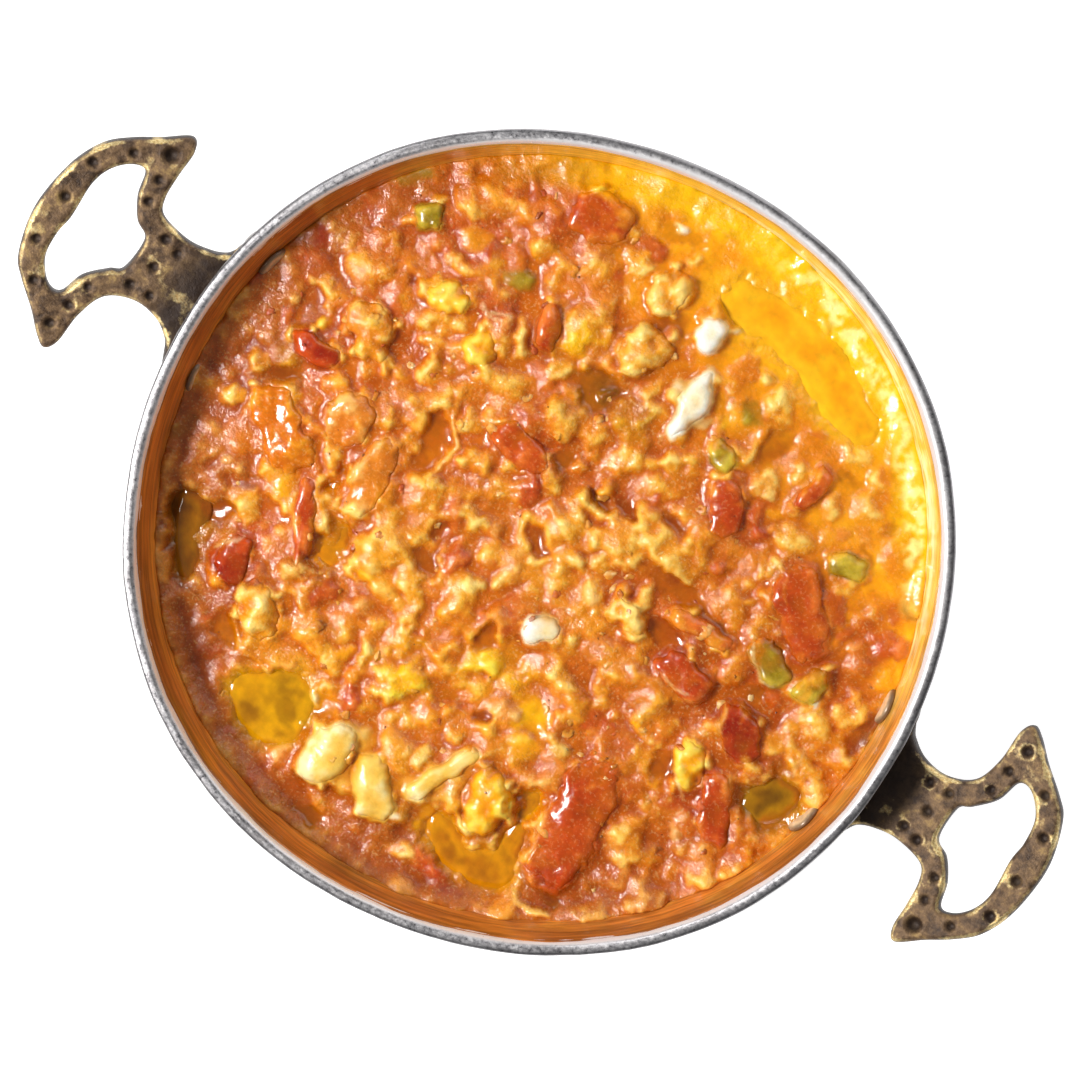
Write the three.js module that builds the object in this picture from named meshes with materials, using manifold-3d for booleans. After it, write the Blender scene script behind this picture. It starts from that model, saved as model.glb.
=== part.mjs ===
/*
 * Menemen in the two-handled pan it was cooked in: soft scrambled egg with tomato, green pepper and
 * oil, filling a thick aluminium pan to a few millimetres over half its depth. Two cast brass
 * handles are riveted to the wall.
 *
 * Millimetres, +Z up. The origin is the centre of the underside, and +X runs through the right
 * handle. Touching pieces keep a gap of GAP.
 */
import * as THREE from "three";
import { mergeVertices } from "three/addons/utils/BufferGeometryUtils.js";
import Module from "manifold-3d";

const wasm = await Module();
wasm.setup();

const { cos, sin, tan, sqrt, hypot, atan2, PI } = Math;
const radians = THREE.MathUtils.degToRad;

// ---------------------------------------------------------------- driving dimensions
const GAP = 0.3;

// The pan: a spun bowl with a thickened rim, a little out of round from use.
const RIM_RADIUS = 90;
const PAN_HEIGHT = 42;
const WALL = 2;
const FLARE = radians(12.7);
const CORNER_RADIUS = 10;
const LIP = { width: 2.8, depth: 3.2, topWidth: 1.5, outerEdge: 0.5, innerEdge: 0.9, under: 1.1 };
const SWELLS = [
  { lobes: 4, size: 0.6, turn: radians(-28) },
  { lobes: 2, size: 0.3, turn: 0 },
];
const PAN_SIDES = 52;
const CORNER_STEPS = 3;

// The handles: one casting used twice, a plate that climbs away from a foot riveted to the wall.
// They were fitted by eye, and each is twisted a little on its foot.
const PLATE = { rootRadius: 88.4, rootHeight: 27.7, tilt: radians(14), thickness: 5, bevel: 1.1 };
const FOOT = { halfLength: 20.5, halfHeight: 6.5, height: 27.8, thickness: 3.2 };
const PIT_DEPTH = 0.7;
const PIT_SIDES = 5;
const OUTLINE_CORNERS = 42;
const HOLE_CORNERS = 22;
const HANDLES = [
  { name: "right", turn: 0, twist: radians(2.6) },
  { name: "left", turn: PI, twist: radians(-2.6) },
];
const RIVET = {
  shift: radians(-0.9), spread: radians(10.5), height: 27.8, shank: 2.2, head: 4.5, headThickness: 1.2,
  outerHead: 3.4, outerThickness: 1.2, sides: 10, boreClearance: 0.4,
};

// The food: its level at the wall, the crown over it, and the curds that make its surface uneven.
const LEVEL = 29.2;
const CROWN = 1.2;
const EDGE_GAP = 0.45;
const TOP_RINGS = 18;
const SIDE_POINTS = 40;
const CURDS = { count: 170, seed: 11, radius: [4, 8], height: [1, 3.8] };
const POCKET_GAP = 0.45;
const LARGE_PIECE = 14;

// The oil that has gathered between the pieces.
const OIL = { level: 28.4, depth: 2.4, points: 14 };

// ---------------------------------------------------------------- the casting's outline
// Points are [outward, sideways] on the plate, measured from the root.
const HANDLE_OUTLINE = [
  [-1, -17], [3.5, -12], [8, -10], [13, -9.4], [19.5, -10.7], [21.6, -14], [22.2, -20], [22.4, -26],
  [24.6, -28.4], [30, -24.2], [35, -20.5], [39.4, -16], [42.3, -9], [43.4, 0], [42.8, 7], [40, 15],
  [36.8, 18.5], [31, 23], [26.6, 27], [23.8, 28.4], [22, 25.5], [21.8, 18], [19.7, 11.5], [14, 8.4],
  [8, 8.8], [3.5, 11.5], [-1, 16],
];
const HOLE_OUTLINE = [
  [28.7, -16.3], [26.9, -11], [23.7, -6.5], [20, -4], [19.9, 3.6], [22.5, 6], [26.3, 10.5], [28, 16],
  [31.3, 16], [35, 11.8], [36, 6], [35.6, 1], [36.2, -7], [35, -12], [32, -15.6],
];
// Cast pits, [outward, sideways, radius].
const PITS = [
  [16.5, -6.8, 1.5], [12.5, -5.8, 1.4], [15, -0.3, 1.5], [16.8, 5.6, 1.4], [12, 5.3, 1.4],
  [24.3, -11.4, 1.4], [25.2, -16.6, 1.4], [26.2, -22.6, 2.2], [33, -18.2, 1.4], [38.9, -11.4, 1.5],
  [39.4, -1.8, 1.6], [39.1, 9.4, 1.5], [34.3, 17.2, 1.5], [24, 11.6, 1.3], [24.9, 17.2, 1.4],
  [26, 23, 1.6],
];

// ---------------------------------------------------------------- the larger pieces in the food
// at: centre [x, y]; size: length, width and thickness; turn: degrees of the length from +X;
// rise: how far the top stands over the mass; square: 2 is round in plan, more is blockier;
// curl: lift of the ends; lean: degrees of tilt along the length.
const TOMATO = { colour: 0xb23c1c, roughness: 0.32, square: 3, rise: 2.4, wobble: 0.12 };
const EGG = { colour: 0xf2cf6a, roughness: 0.45, square: 2.2, rise: 3.2, wobble: 0.2 };
const PEPPER = { colour: 0x8a8a2a, roughness: 0.35, square: 3.6, rise: 2.2, wobble: 0.09 };
const PIECES = [
  { name: "tomato_1", kind: TOMATO, at: [41.6, -47.3], size: [34, 14.5, 5], turn: -81, curl: 0.9 },
  { name: "tomato_2", kind: TOMATO, at: [42.7, -6.1], size: [15, 9, 6.5], turn: -6, rise: 3 },
  { name: "tomato_3", kind: TOMATO, at: [59.8, -9.3], size: [15, 9.5, 7], turn: -32, rise: 3.2 },
  { name: "tomato_4", kind: TOMATO, at: [65.4, -26.7], size: [19, 8, 5.5], turn: -62 },
  { name: "tomato_5", kind: TOMATO, at: [55.2, 20.5], size: [23, 12, 6], turn: -44, rise: 3 },
  { name: "tomato_6", kind: TOMATO, at: [39.9, 4.6], size: [17.5, 5.4, 4.5], turn: 6 },
  { name: "tomato_7", kind: TOMATO, at: [28.6, 29.4], size: [14, 8, 5], turn: -58 },
  { name: "tomato_8", kind: TOMATO, at: [-60.1, -12.4], size: [22, 11.5, 5.5], turn: -33, lean: 4 },
  { name: "tomato_9", kind: TOMATO, at: [-49.4, -1.8], size: [13, 11, 5], turn: -70 },
  { name: "tomato_10", kind: TOMATO, at: [-52.7, -42.4], size: [12, 7.2, 5.5], turn: -78 },
  { name: "tomato_11", kind: TOMATO, at: [-44.9, -25.8], size: [22, 5.6, 4.5], turn: -60 },
  { name: "tomato_12", kind: TOMATO, at: [-38.1, -8.9], size: [20, 8.6, 5], turn: -82, lean: -3 },
  { name: "tomato_13", kind: TOMATO, at: [-63.6, 6.5], size: [12.5, 5.8, 5], turn: 8 },
  { name: "tomato_14", kind: TOMATO, at: [-15.3, 14.6], size: [15, 8.4, 4.5], turn: -8, rise: 1.8 },
  { name: "tomato_15", kind: TOMATO, at: [-29.2, 65.6], size: [15, 12, 5], turn: 12, curl: 0.5 },
  { name: "tomato_16", kind: TOMATO, at: [-24.8, 39.7], size: [11, 5.2, 4.5], turn: -68 },
  { name: "tomato_17", kind: TOMATO, at: [42.1, 43.9], size: [12, 5, 4.5], turn: 84 },
  { name: "egg_1", kind: EGG, at: [-11.4, -65.8], size: [17, 11.6, 8.5], turn: 76, rise: 4.6 },
  { name: "egg_2", kind: EGG, at: [0.9, -66.2], size: [17, 10.4, 8], turn: -47, rise: 4.2 },
  { name: "egg_3", kind: EGG, at: [23.4, -54.5], size: [17.5, 11.6, 8], turn: -60, rise: 4.2 },
  { name: "egg_4", kind: EGG, at: [12.1, -54.5], size: [22, 5, 5], turn: 68, rise: 2.6, square: 3 },
  { name: "egg_5", kind: EGG, at: [54.6, -21.8], size: [11, 8.8, 7], turn: -52, rise: 3.6 },
  { name: "egg_6", kind: EGG, at: [11.1, -15.6], size: [8.5, 7, 6], turn: 30 },
  { name: "egg_7", kind: EGG, at: [-42.3, -48.3], size: [15.5, 9.5, 7], turn: -44, rise: 3.8 },
  { name: "egg_8", kind: EGG, at: [10, 43.7], size: [17, 6.6, 6], turn: 92 },
  { name: "egg_9", kind: EGG, at: [4.7, 58.4], size: [8.6, 7.2, 5.5], turn: -70 },
  { name: "egg_10", kind: EGG, at: [-8, 60.8], size: [12, 8.6, 6.5], turn: 80 },
  { name: "egg_11", kind: EGG, at: [-46.6, 32.4], size: [9.6, 8.6, 7], turn: 20, rise: 3.6 },
  { name: "egg_12", kind: EGG, at: [-34.5, 27.4], size: [9.6, 8, 6.5], turn: 20, rise: 3.4 },
  { name: "egg_13", kind: EGG, at: [-5, 47.3], size: [13.5, 11, 6.5], turn: 58 },
  { name: "egg_14", kind: EGG, at: [24.9, -2.4], size: [9.6, 8, 6.5], turn: 10 },
  { name: "egg_15", kind: EGG, at: [-56.2, 16.8], size: [14.6, 10, 6], turn: -36 },
  { name: "pepper_1", kind: PEPPER, at: [66.6, 8.3], size: [9.8, 6.6, 5.5], turn: 84, rise: 2.8 },
  { name: "pepper_2", kind: PEPPER, at: [58, 34.4], size: [9.4, 5.4, 4.5], turn: 15 },
  { name: "pepper_3", kind: PEPPER, at: [55.9, 7.3], size: [12.6, 7.6, 5], turn: -26 },
  { name: "pepper_4", kind: PEPPER, at: [21.9, 38.5], size: [8.4, 6, 4.5], turn: -22 },
  { name: "pepper_5", kind: PEPPER, at: [-59.5, 44.7], size: [7.6, 6.6, 4.5], turn: 40 },
];

// Oil between the pieces, each pool a closed outline in plan.
const POOLS = [
  {
    name: "oil_pool_1",
    outline: [
      [-30.5, -58.5], [-23.1, -56.6], [-20.2, -61], [-19.7, -67.8], [-24.6, -72.1], [-32.4, -70.7],
      [-37.3, -65.8],
    ],
  },
  {
    name: "oil_pool_2",
    outline: [
      [32.3, -47.3], [34.6, -57], [37.1, -65.8], [35.2, -69.2], [27.3, -71.6], [18.5, -68.7],
      [16.6, -63.9], [26.4, -65.3], [31.9, -59], [30.3, -50.2],
    ],
  },
  {
    name: "oil_pool_3",
    outline: [
      [-69.8, -37.9], [-65.3, -37.1], [-62.9, -43.4], [-59.4, -48.8], [-58.9, -52.7], [-65.3, -46.8],
    ],
  },
  {
    name: "oil_pool_4",
    outline: [
      [-44, -12], [-41, -20.5], [-35.5, -22.6], [-33.9, -29.7], [-36, -35.6], [-38.8, -32.6],
      [-38, -24.8], [-43.4, -17.9],
    ],
  },
  {
    name: "oil_pool_5",
    outline: [
      [1.9, 66.2], [11.8, 63.2], [23.7, 63.2], [33.6, 59.2], [44.5, 57.2], [44.5, 63.2],
      [33.6, 68.2], [23.7, 71.7], [11.8, 72.7], [3.9, 71.2],
    ],
  },
  {
    name: "oil_pool_6",
    outline: [[72.7, -14], [78.2, -13.5], [78, -18.9], [73.6, -23.8], [70.1, -22.3], [70.7, -17.5]],
  },
];

// ---------------------------------------------------------------- meshes and solids
/** A seeded random number source, so that every build is the same. */
function randomSource(seed) {
  let state = seed;
  return (low, high) => {
    state = (state + 0x6d2b79f5) | 0;
    let t = Math.imul(state ^ (state >>> 15), 1 | state);
    t = (t + Math.imul(t ^ (t >>> 7), 61 | t)) ^ t;
    return low + (high - low) * (((t ^ (t >>> 14)) >>> 0) / 4294967296);
  };
}

/** Keeps only position, and shares the vertices that coincide. */
function weld(geometry) {
  const bare = geometry.clone();
  bare.deleteAttribute("normal");
  bare.deleteAttribute("uv");
  return mergeVertices(bare, 1e-4);
}

function toSolid(geometry) {
  const welded = weld(geometry);
  return new wasm.Manifold(new wasm.Mesh({
    numProp: 3,
    vertProperties: new Float32Array(welded.attributes.position.array),
    triVerts: new Uint32Array(welded.index.array),
  }));
}

function toGeometry(solid) {
  const mesh = solid.getMesh();
  const geometry = new THREE.BufferGeometry();
  geometry.setAttribute("position", new THREE.BufferAttribute(mesh.vertProperties, 3));
  geometry.setIndex(new THREE.BufferAttribute(mesh.triVerts, 1));
  return geometry;
}

const cut = (solid, cutters) => cutters.reduce((rest, cutter) => rest.subtract(cutter), solid);

/** A smooth closed outline through the points, as a shape with `count` corners. */
function smoothOutline(points, count) {
  const loop = new THREE.CatmullRomCurve3(points.map(([x, y]) => new THREE.Vector3(x, y, 0)), true);
  const corners = Array.from({ length: count }, (_, i) => loop.getPoint(i / count));
  return corners.map((p) => new THREE.Vector2(p.x, p.y));
}

/** The outline with every edge moved outward by `distance`, whichever way round it runs. */
function grow(outline, distance) {
  const side = THREE.ShapeUtils.isClockWise(outline) ? -1 : 1;
  return outline.map((point, i) => {
    const before = outline[(i + outline.length - 1) % outline.length];
    const after = outline[(i + 1) % outline.length];
    const arriving = point.clone().sub(before).normalize();
    const along = after.clone().sub(point).normalize().add(arriving).normalize();
    const shift = (side * distance) / along.dot(arriving);
    return new THREE.Vector2(point.x + shift * along.y, point.y - shift * along.x);
  });
}

/** A straight-sided block over the outline, from `low` to `high`. */
function block(outline, low, high) {
  const shape = new THREE.Shape(outline);
  const geometry = new THREE.ExtrudeGeometry(shape, { depth: high - low, bevelEnabled: false });
  return toSolid(geometry.translate(0, 0, low));
}

// ---------------------------------------------------------------- the pan
const innerRadius = (z) => RIM_RADIUS - LIP.width - (PAN_HEIGHT - z) * tan(FLARE);
const outerRadius = (z) => innerRadius(z) + WALL / cos(FLARE);
const CORNER_CENTRE = outerRadius(CORNER_RADIUS) - CORNER_RADIUS / cos(FLARE);

/** How far a round line of this radius and height is pushed out of round at the angle. */
function swell(radius, angle, z) {
  const share = (radius / RIM_RADIUS) * (z / PAN_HEIGHT);
  return SWELLS.reduce((sum, s) => sum + share * s.size * cos(s.lobes * (angle - s.turn)), 0);
}

/** The rounded corner between floor and wall, from the floor up, at this radius from its centre. */
function cornerArc(radius) {
  return Array.from({ length: CORNER_STEPS + 1 }, (_, i) => {
    const turn = -PI / 2 + (i / CORNER_STEPS) * (PI / 2 - FLARE);
    return new THREE.Vector2(CORNER_CENTRE + radius * cos(turn), CORNER_RADIUS + radius * sin(turn));
  });
}

/** The outer line of the pan from the base up to the top of the lip, moved out by `offset`. */
function outerLine(offset) {
  const lipFoot = PAN_HEIGHT - LIP.depth;
  const edge = RIM_RADIUS + offset;
  const wallTop = lipFoot - LIP.under - offset;
  return [
    ...cornerArc(CORNER_RADIUS + offset),
    new THREE.Vector2(outerRadius(wallTop) + offset / cos(FLARE), wallTop),
    new THREE.Vector2(edge, lipFoot - offset),
    new THREE.Vector2(edge, PAN_HEIGHT - LIP.outerEdge),
  ];
}

/** Spins a profile about Z and pushes it out of round. */
function spin(profile) {
  const geometry = new THREE.LatheGeometry(profile, PAN_SIDES).rotateX(PI / 2);
  const place = geometry.attributes.position;
  for (let i = 0; i < place.count; i += 1) {
    const [x, y, z] = [place.getX(i), place.getY(i), place.getZ(i)];
    const radius = hypot(x, y);
    const scale = radius > 1e-6 ? 1 + swell(radius, atan2(y, x), z) / radius : 1;
    place.setXY(i, x * scale, y * scale);
  }
  return toSolid(geometry);
}

function panBody() {
  const lipOuter = RIM_RADIUS - LIP.outerEdge;
  const lipInner = lipOuter - LIP.topWidth;
  const innerTop = PAN_HEIGHT - LIP.innerEdge;
  return spin([
    new THREE.Vector2(0, 0),
    ...outerLine(0),
    new THREE.Vector2(lipOuter, PAN_HEIGHT),
    new THREE.Vector2(lipInner, PAN_HEIGHT),
    new THREE.Vector2(innerRadius(innerTop), innerTop),
    ...cornerArc(CORNER_RADIUS - WALL).reverse(),
    new THREE.Vector2(0, WALL),
  ]);
}

/** A solid block of the pan's outside, `offset` larger: it keeps the handles clear of the wall. */
function panEnvelope(offset) {
  const line = outerLine(offset);
  const base = new THREE.Vector2(0, line[0].y);
  return spin([base, ...line, new THREE.Vector2(0, line.at(-1).y)]);
}

// ---------------------------------------------------------------- rivets
/** How far out from the inner wall a rivet's outer head begins. */
const RIVET_FOOT = WALL + FOOT.thickness + 2.5 * GAP;

/** Turns a piece made along +Z from the inner wall's face to a rivet's place and direction. */
function atRivet(geometry, angle) {
  const radius = innerRadius(RIVET.height) + swell(innerRadius(RIVET.height), angle, RIVET.height);
  return geometry
    .rotateY(PI / 2 + FLARE)
    .translate(radius, 0, RIVET.height)
    .rotateZ(angle);
}

/** A straight round cutter along a rivet's axis, between two distances from the inner wall. */
function rivetCutter(angle, radius, from, to) {
  const geometry = new THREE.CylinderGeometry(radius, radius, to - from, RIVET.sides)
    .rotateX(PI / 2)
    .translate(0, 0, (from + to) / 2);
  return toSolid(atRivet(geometry, angle));
}

function rivet(angle) {
  const foot = RIVET_FOOT;
  const edge = 0.4;
  const profile = [
    [0, -GAP - RIVET.headThickness], [RIVET.head - edge, -GAP - RIVET.headThickness],
    [RIVET.head, -GAP - RIVET.headThickness + edge], [RIVET.head, -GAP - 0.05],
    [RIVET.shank, -GAP - 0.05], [RIVET.shank, foot], [RIVET.outerHead, foot],
    [RIVET.outerHead * 0.8, foot + RIVET.outerThickness * 0.7], [0, foot + RIVET.outerThickness],
  ].map(([r, along]) => new THREE.Vector2(r, along));
  return atRivet(new THREE.LatheGeometry(profile, RIVET.sides).rotateX(PI / 2), angle);
}

const rivetAngles = (turn) => [-1, 1].map((way) => turn + RIVET.shift + way * RIVET.spread);

// ---------------------------------------------------------------- handles
/** Lays a geometry made flat on the plate's top face at the root onto the tilted plate. */
function onPlate(geometry, { twist }) {
  return geometry
    .rotateZ(twist)
    .rotateY(-PLATE.tilt)
    .translate(PLATE.rootRadius, 0, PLATE.rootHeight);
}

function handlePlate(side) {
  const shape = new THREE.Shape(smoothOutline(HANDLE_OUTLINE, OUTLINE_CORNERS));
  shape.holes.push(new THREE.Path(smoothOutline(HOLE_OUTLINE, HOLE_CORNERS)));
  const depth = PLATE.thickness - 2 * PLATE.bevel;
  const geometry = new THREE.ExtrudeGeometry(shape, {
    depth,
    bevelThickness: PLATE.bevel,
    bevelSize: PLATE.bevel,
    bevelOffset: -PLATE.bevel,
    bevelSegments: 1,
  });
  return toSolid(onPlate(geometry.translate(0, 0, -depth - PLATE.bevel), side));
}

function handlePits(side) {
  return PITS.map(([outward, sideways, radius]) => {
    const geometry = new THREE.ConeGeometry(radius, 2 * PIT_DEPTH, PIT_SIDES)
      .rotateX(-PI / 2)
      .translate(outward, sideways, 0);
    return toSolid(onPlate(geometry, side));
  });
}

/** The foot: a long rounded pad bent round the wall, with the rivets at its ends. */
function handleFoot() {
  const { halfLength, halfHeight, height, thickness } = FOOT;
  const straight = halfLength - halfHeight;
  const shape = new THREE.Shape()
    .absarc(straight, height, halfHeight, -PI / 2, PI / 2)
    .absarc(-straight, height, halfHeight, PI / 2, 1.5 * PI);
  const reach = RIM_RADIUS + LIP.width + thickness;
  const pad = new THREE.ExtrudeGeometry(shape, { depth: reach / 4, bevelEnabled: false, curveSegments: 4 })
    .applyMatrix4(new THREE.Matrix4().makeBasis(
      new THREE.Vector3(0, 1, 0), new THREE.Vector3(0, 0, 1), new THREE.Vector3(1, 0, 0),
    ))
    .translate(0.75 * reach, 0, 0);
  return toSolid(pad).intersect(panEnvelope(GAP + thickness));
}

function handle(side) {
  const rivetRoom = rivetAngles(0).flatMap((angle) => [
    rivetCutter(angle, RIVET.shank + RIVET.boreClearance, 0, RIVET_FOOT),
    rivetCutter(angle, RIVET.outerHead + GAP, RIVET_FOOT - GAP, RIVET_FOOT + 3 * FOOT.thickness),
  ]);
  const blank = handlePlate(side).add(handleFoot());
  const casting = cut(blank, [panEnvelope(GAP), ...rivetRoom, ...handlePits(side)]);
  return toGeometry(casting).rotateZ(side.turn);
}

// ---------------------------------------------------------------- the food
const random = randomSource(CURDS.seed);
const foodRadius = (angle, z) => innerRadius(z) + swell(innerRadius(z), angle, z) - EDGE_GAP;
const curds = Array.from({ length: CURDS.count }, () => {
  const angle = random(0, 2 * PI);
  const distance = foodRadius(angle, LEVEL) * sqrt(random(0, 1));
  return {
    x: distance * cos(angle), y: distance * sin(angle),
    radius: random(...CURDS.radius), height: random(...CURDS.height),
  };
});

/** Height of the mass at a place: level at the wall, crowned inward, with rounded curds on it. */
function foodHeight(x, y) {
  const share = hypot(x, y) / foodRadius(atan2(y, x), LEVEL);
  const bump = curds.reduce((highest, curd) => {
    const away = hypot(x - curd.x, y - curd.y) / curd.radius;
    return away < 1 ? Math.max(highest, curd.height * (1 - away * away) ** 1.5) : highest;
  }, 0);
  return LEVEL + CROWN * (1 - share ** 2) + bump * Math.min(1, 4 * (1 - share)) - 0.8;
}

/** Joins two closed rings of points, which may differ in number, by a band of triangles. */
function band(ringA, ringB, triangles) {
  let [a, b] = [0, 0];
  while (a < ringA.length || b < ringB.length) {
    const stepA = b >= ringB.length || (a < ringA.length && (a + 1) * ringB.length <= (b + 1) * ringA.length);
    const [fromA, fromB] = [ringA[a % ringA.length], ringB[b % ringB.length]];
    if (stepA) {
      a += 1;
      if (ringA.length > 1) triangles.push(fromA, ringA[a % ringA.length], fromB);
    } else {
      b += 1;
      if (ringB.length > 1) triangles.push(fromA, ringB[b % ringB.length], fromB);
    }
  }
}

/** The whole mass, before pieces, oil and rivet heads are let into it. */
function foodMass() {
  const places = [];
  const addRing = (count, pointAt) => Array.from({ length: count }, (_, i) => {
    places.push(...pointAt((2 * PI * i) / count));
    return places.length / 3 - 1;
  });
  const rings = [addRing(1, () => [0, 0, foodHeight(0, 0)])];
  for (let k = 1; k <= TOP_RINGS; k += 1) {
    rings.push(addRing(6 * k, (angle) => {
      const distance = (foodRadius(angle, LEVEL) * k) / TOP_RINGS;
      const [x, y] = [distance * cos(angle), distance * sin(angle)];
      return [x, y, foodHeight(x, y)];
    }));
  }
  const corner = cornerArc(CORNER_RADIUS - WALL - EDGE_GAP);
  const shoulder = corner.at(-1);
  for (const { x: radius, y: z } of [shoulder, corner[2], corner[1], corner[0]]) {
    rings.push(addRing(SIDE_POINTS, (angle) => {
      const distance = radius + swell(radius, angle, z);
      return [distance * cos(angle), distance * sin(angle), z];
    }));
  }
  rings.push(addRing(1, () => [0, 0, corner[0].y]));
  const triangles = [];
  rings.slice(1).forEach((ring, i) => band(ring, rings[i], triangles));
  const geometry = new THREE.BufferGeometry();
  geometry.setAttribute("position", new THREE.Float32BufferAttribute(places, 3));
  geometry.setIndex(triangles);
  return toSolid(geometry);
}

/** One piece of tomato, egg or pepper: a blocky or round lump with an uneven skin. */
function pieceGeometry(piece, index, extra) {
  const { at, size, turn, curl = 0, lean = 0, kind } = piece;
  const square = piece.square ?? kind.square;
  const draw = randomSource(100 + index);
  const waves = Array.from({ length: 3 }, (_, i) => ({
    way: new THREE.Vector3(draw(-1, 1), draw(-1, 1), draw(-1, 1)).setLength(2.2 + 1.3 * i),
    shift: draw(0, 2 * PI),
    share: kind.wobble / (1 + 0.6 * i),
  }));
  const around = size[0] > LARGE_PIECE ? 10 : 8;
  const geometry = new THREE.SphereGeometry(1, around, 4).rotateX(PI / 2);
  const place = geometry.attributes.position;
  const point = new THREE.Vector3();
  for (let i = 0; i < place.count; i += 1) {
    point.fromBufferAttribute(place, i);
    const plan = (Math.abs(point.x) ** square + Math.abs(point.y) ** square) ** (2 / square);
    const reach = 1 / sqrt(plan + point.z ** 2);
    const uneven = waves.reduce((sum, w) => sum + w.share * sin(w.way.dot(point) + w.shift), 1);
    point.multiplyScalar(reach * uneven);
    const bend = curl * point.x * point.x;
    place.setXYZ(
      i,
      point.x * (size[0] / 2 + extra),
      point.y * (size[1] / 2 + extra),
      point.z * (size[2] / 2 + extra) + bend,
    );
  }
  const top = LEVEL + CROWN * (1 - (hypot(...at) / RIM_RADIUS) ** 2) + (piece.rise ?? kind.rise);
  return geometry
    .rotateY(radians(lean))
    .rotateZ(radians(turn))
    .translate(at[0], at[1], top - size[2] / 2);
}

// ---------------------------------------------------------------- the model
const model = new THREE.Group();

function add(name, geometry, material) {
  const mesh = new THREE.Mesh(geometry, material);
  mesh.name = name;
  model.add(mesh);
}

const aluminium = new THREE.MeshStandardMaterial({ color: 0x9a9a9c, roughness: 0.4, metalness: 1 });
const brass = new THREE.MeshStandardMaterial({ color: 0x6b4a28, roughness: 0.5, metalness: 1 });
const curdMass = new THREE.MeshStandardMaterial({ color: 0xdc8a3a, roughness: 0.4 });
const oil = new THREE.MeshStandardMaterial({ color: 0xb87a08, roughness: 0.1 });
const foodMaterial = ({ colour, roughness }) => new THREE.MeshStandardMaterial({ color: colour, roughness });

const allRivets = HANDLES.flatMap((side) => rivetAngles(side.turn));
const wallBores = allRivets.map((angle) => (
  rivetCutter(angle, RIVET.shank + RIVET.boreClearance, -2 * WALL, 3 * WALL)
));
add("pan", toGeometry(cut(panBody(), wallBores)), aluminium);

for (const side of HANDLES) {
  add(`handle_${side.name}`, handle(side), brass);
  rivetAngles(side.turn).forEach((angle, i) => add(`rivet_${side.name}_${i + 1}`, rivet(angle), aluminium));
}

// Each piece is cut clear of those before it, and the mass and the oil are cut clear of them all.
const pockets = [];
PIECES.forEach((piece, index) => {
  const solid = cut(toSolid(pieceGeometry(piece, index, 0)), pockets.filter((pocket) => pocket.near(piece))
    .map((pocket) => pocket.solid));
  add(piece.name, toGeometry(solid), foodMaterial(piece.kind));
  pockets.push({
    solid: toSolid(pieceGeometry(piece, index, POCKET_GAP)),
    near: (other) => hypot(other.at[0] - piece.at[0], other.at[1] - piece.at[1])
      < (other.size[0] + piece.size[0]) / 2 + 2,
  });
});
const pieceCutters = pockets.map((pocket) => pocket.solid);
const headCutters = allRivets.map((angle) => (
  rivetCutter(angle, RIVET.head + GAP, -RIVET.headThickness - 2 * GAP, WALL)
));

const basins = POOLS.map(({ name, outline }) => {
  const edge = smoothOutline(outline, OIL.points);
  const pool = cut(block(edge, OIL.level - OIL.depth, OIL.level), [...pieceCutters, ...headCutters]);
  add(name, toGeometry(pool), oil);
  return block(grow(edge, GAP), OIL.level - OIL.depth - GAP, PAN_HEIGHT);
});
add("menemen", toGeometry(cut(foodMass(), [...pieceCutters, ...basins, ...headCutters])), curdMass);

export default model;
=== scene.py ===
"""Menemen in the two-handled pan it was cooked in: soft scrambled egg, tomato, green pepper and oil.

Sizes in the classes are millimetres in the part's own frame; meshes are made in metres.
"""
import logging
import math
from dataclasses import dataclass
from enum import Enum
from itertools import product
from typing import ClassVar, Iterable, Sequence

import bpy
import numpy as np
from mathutils import Matrix, Vector
from mathutils.geometry import delaunay_2d_cdt


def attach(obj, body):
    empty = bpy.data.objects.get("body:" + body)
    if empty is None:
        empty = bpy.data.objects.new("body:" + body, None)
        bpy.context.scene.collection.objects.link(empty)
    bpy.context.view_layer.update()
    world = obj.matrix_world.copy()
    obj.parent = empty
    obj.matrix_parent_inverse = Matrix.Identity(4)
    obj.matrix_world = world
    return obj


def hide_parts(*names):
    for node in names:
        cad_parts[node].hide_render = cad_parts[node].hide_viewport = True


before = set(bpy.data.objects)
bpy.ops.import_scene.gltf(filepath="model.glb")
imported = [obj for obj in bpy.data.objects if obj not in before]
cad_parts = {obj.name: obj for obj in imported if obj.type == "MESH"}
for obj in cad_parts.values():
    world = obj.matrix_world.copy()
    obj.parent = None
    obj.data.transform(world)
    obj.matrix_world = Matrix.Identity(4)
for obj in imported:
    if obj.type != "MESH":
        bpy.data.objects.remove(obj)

LOG = logging.getLogger("menemen")
MM = 0.001
ROOT = "root"
DARKEST, PALEST = 0.002, 0.98
"""Limits of the food's linear colours."""
HANDLE_SKEW_DEG, RIVET_SHIFT_DEG, RIVET_SPREAD_DEG = 2.6, -0.9, 10.5
"""How far the handles stand off the line through the pan, and the rivets off the handles."""
Array = np.ndarray
Colour = tuple[float, float, float]


# ---------------------------------------------------------------- colour, noise and rasters
def linear(code: str) -> Colour:
    """Turns an sRGB hex colour to linear light.

    Args:
        code: Six hex digits.

    Returns:
        Red, green and blue, linear.
    """
    parts = (int(code[i:i + 2], 16) / 255 for i in (0, 2, 4))
    return tuple(v / 12.92 if v <= 0.04045 else ((v + 0.055) / 1.055) ** 2.4 for v in parts)


def smooth(low: float, high: float, value: Array) -> Array:
    """Eases from 0 at low to 1 at high; low may be the larger."""
    t = np.clip((value - low) / (high - low), 0, 1)
    return t * t * (3 - 2 * t)


def blend(a: Array, b: Array, share: Array) -> Array:
    """Mixes two colours, or colour arrays, by a share for each point."""
    return a + (b - a) * share[..., None]


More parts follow.
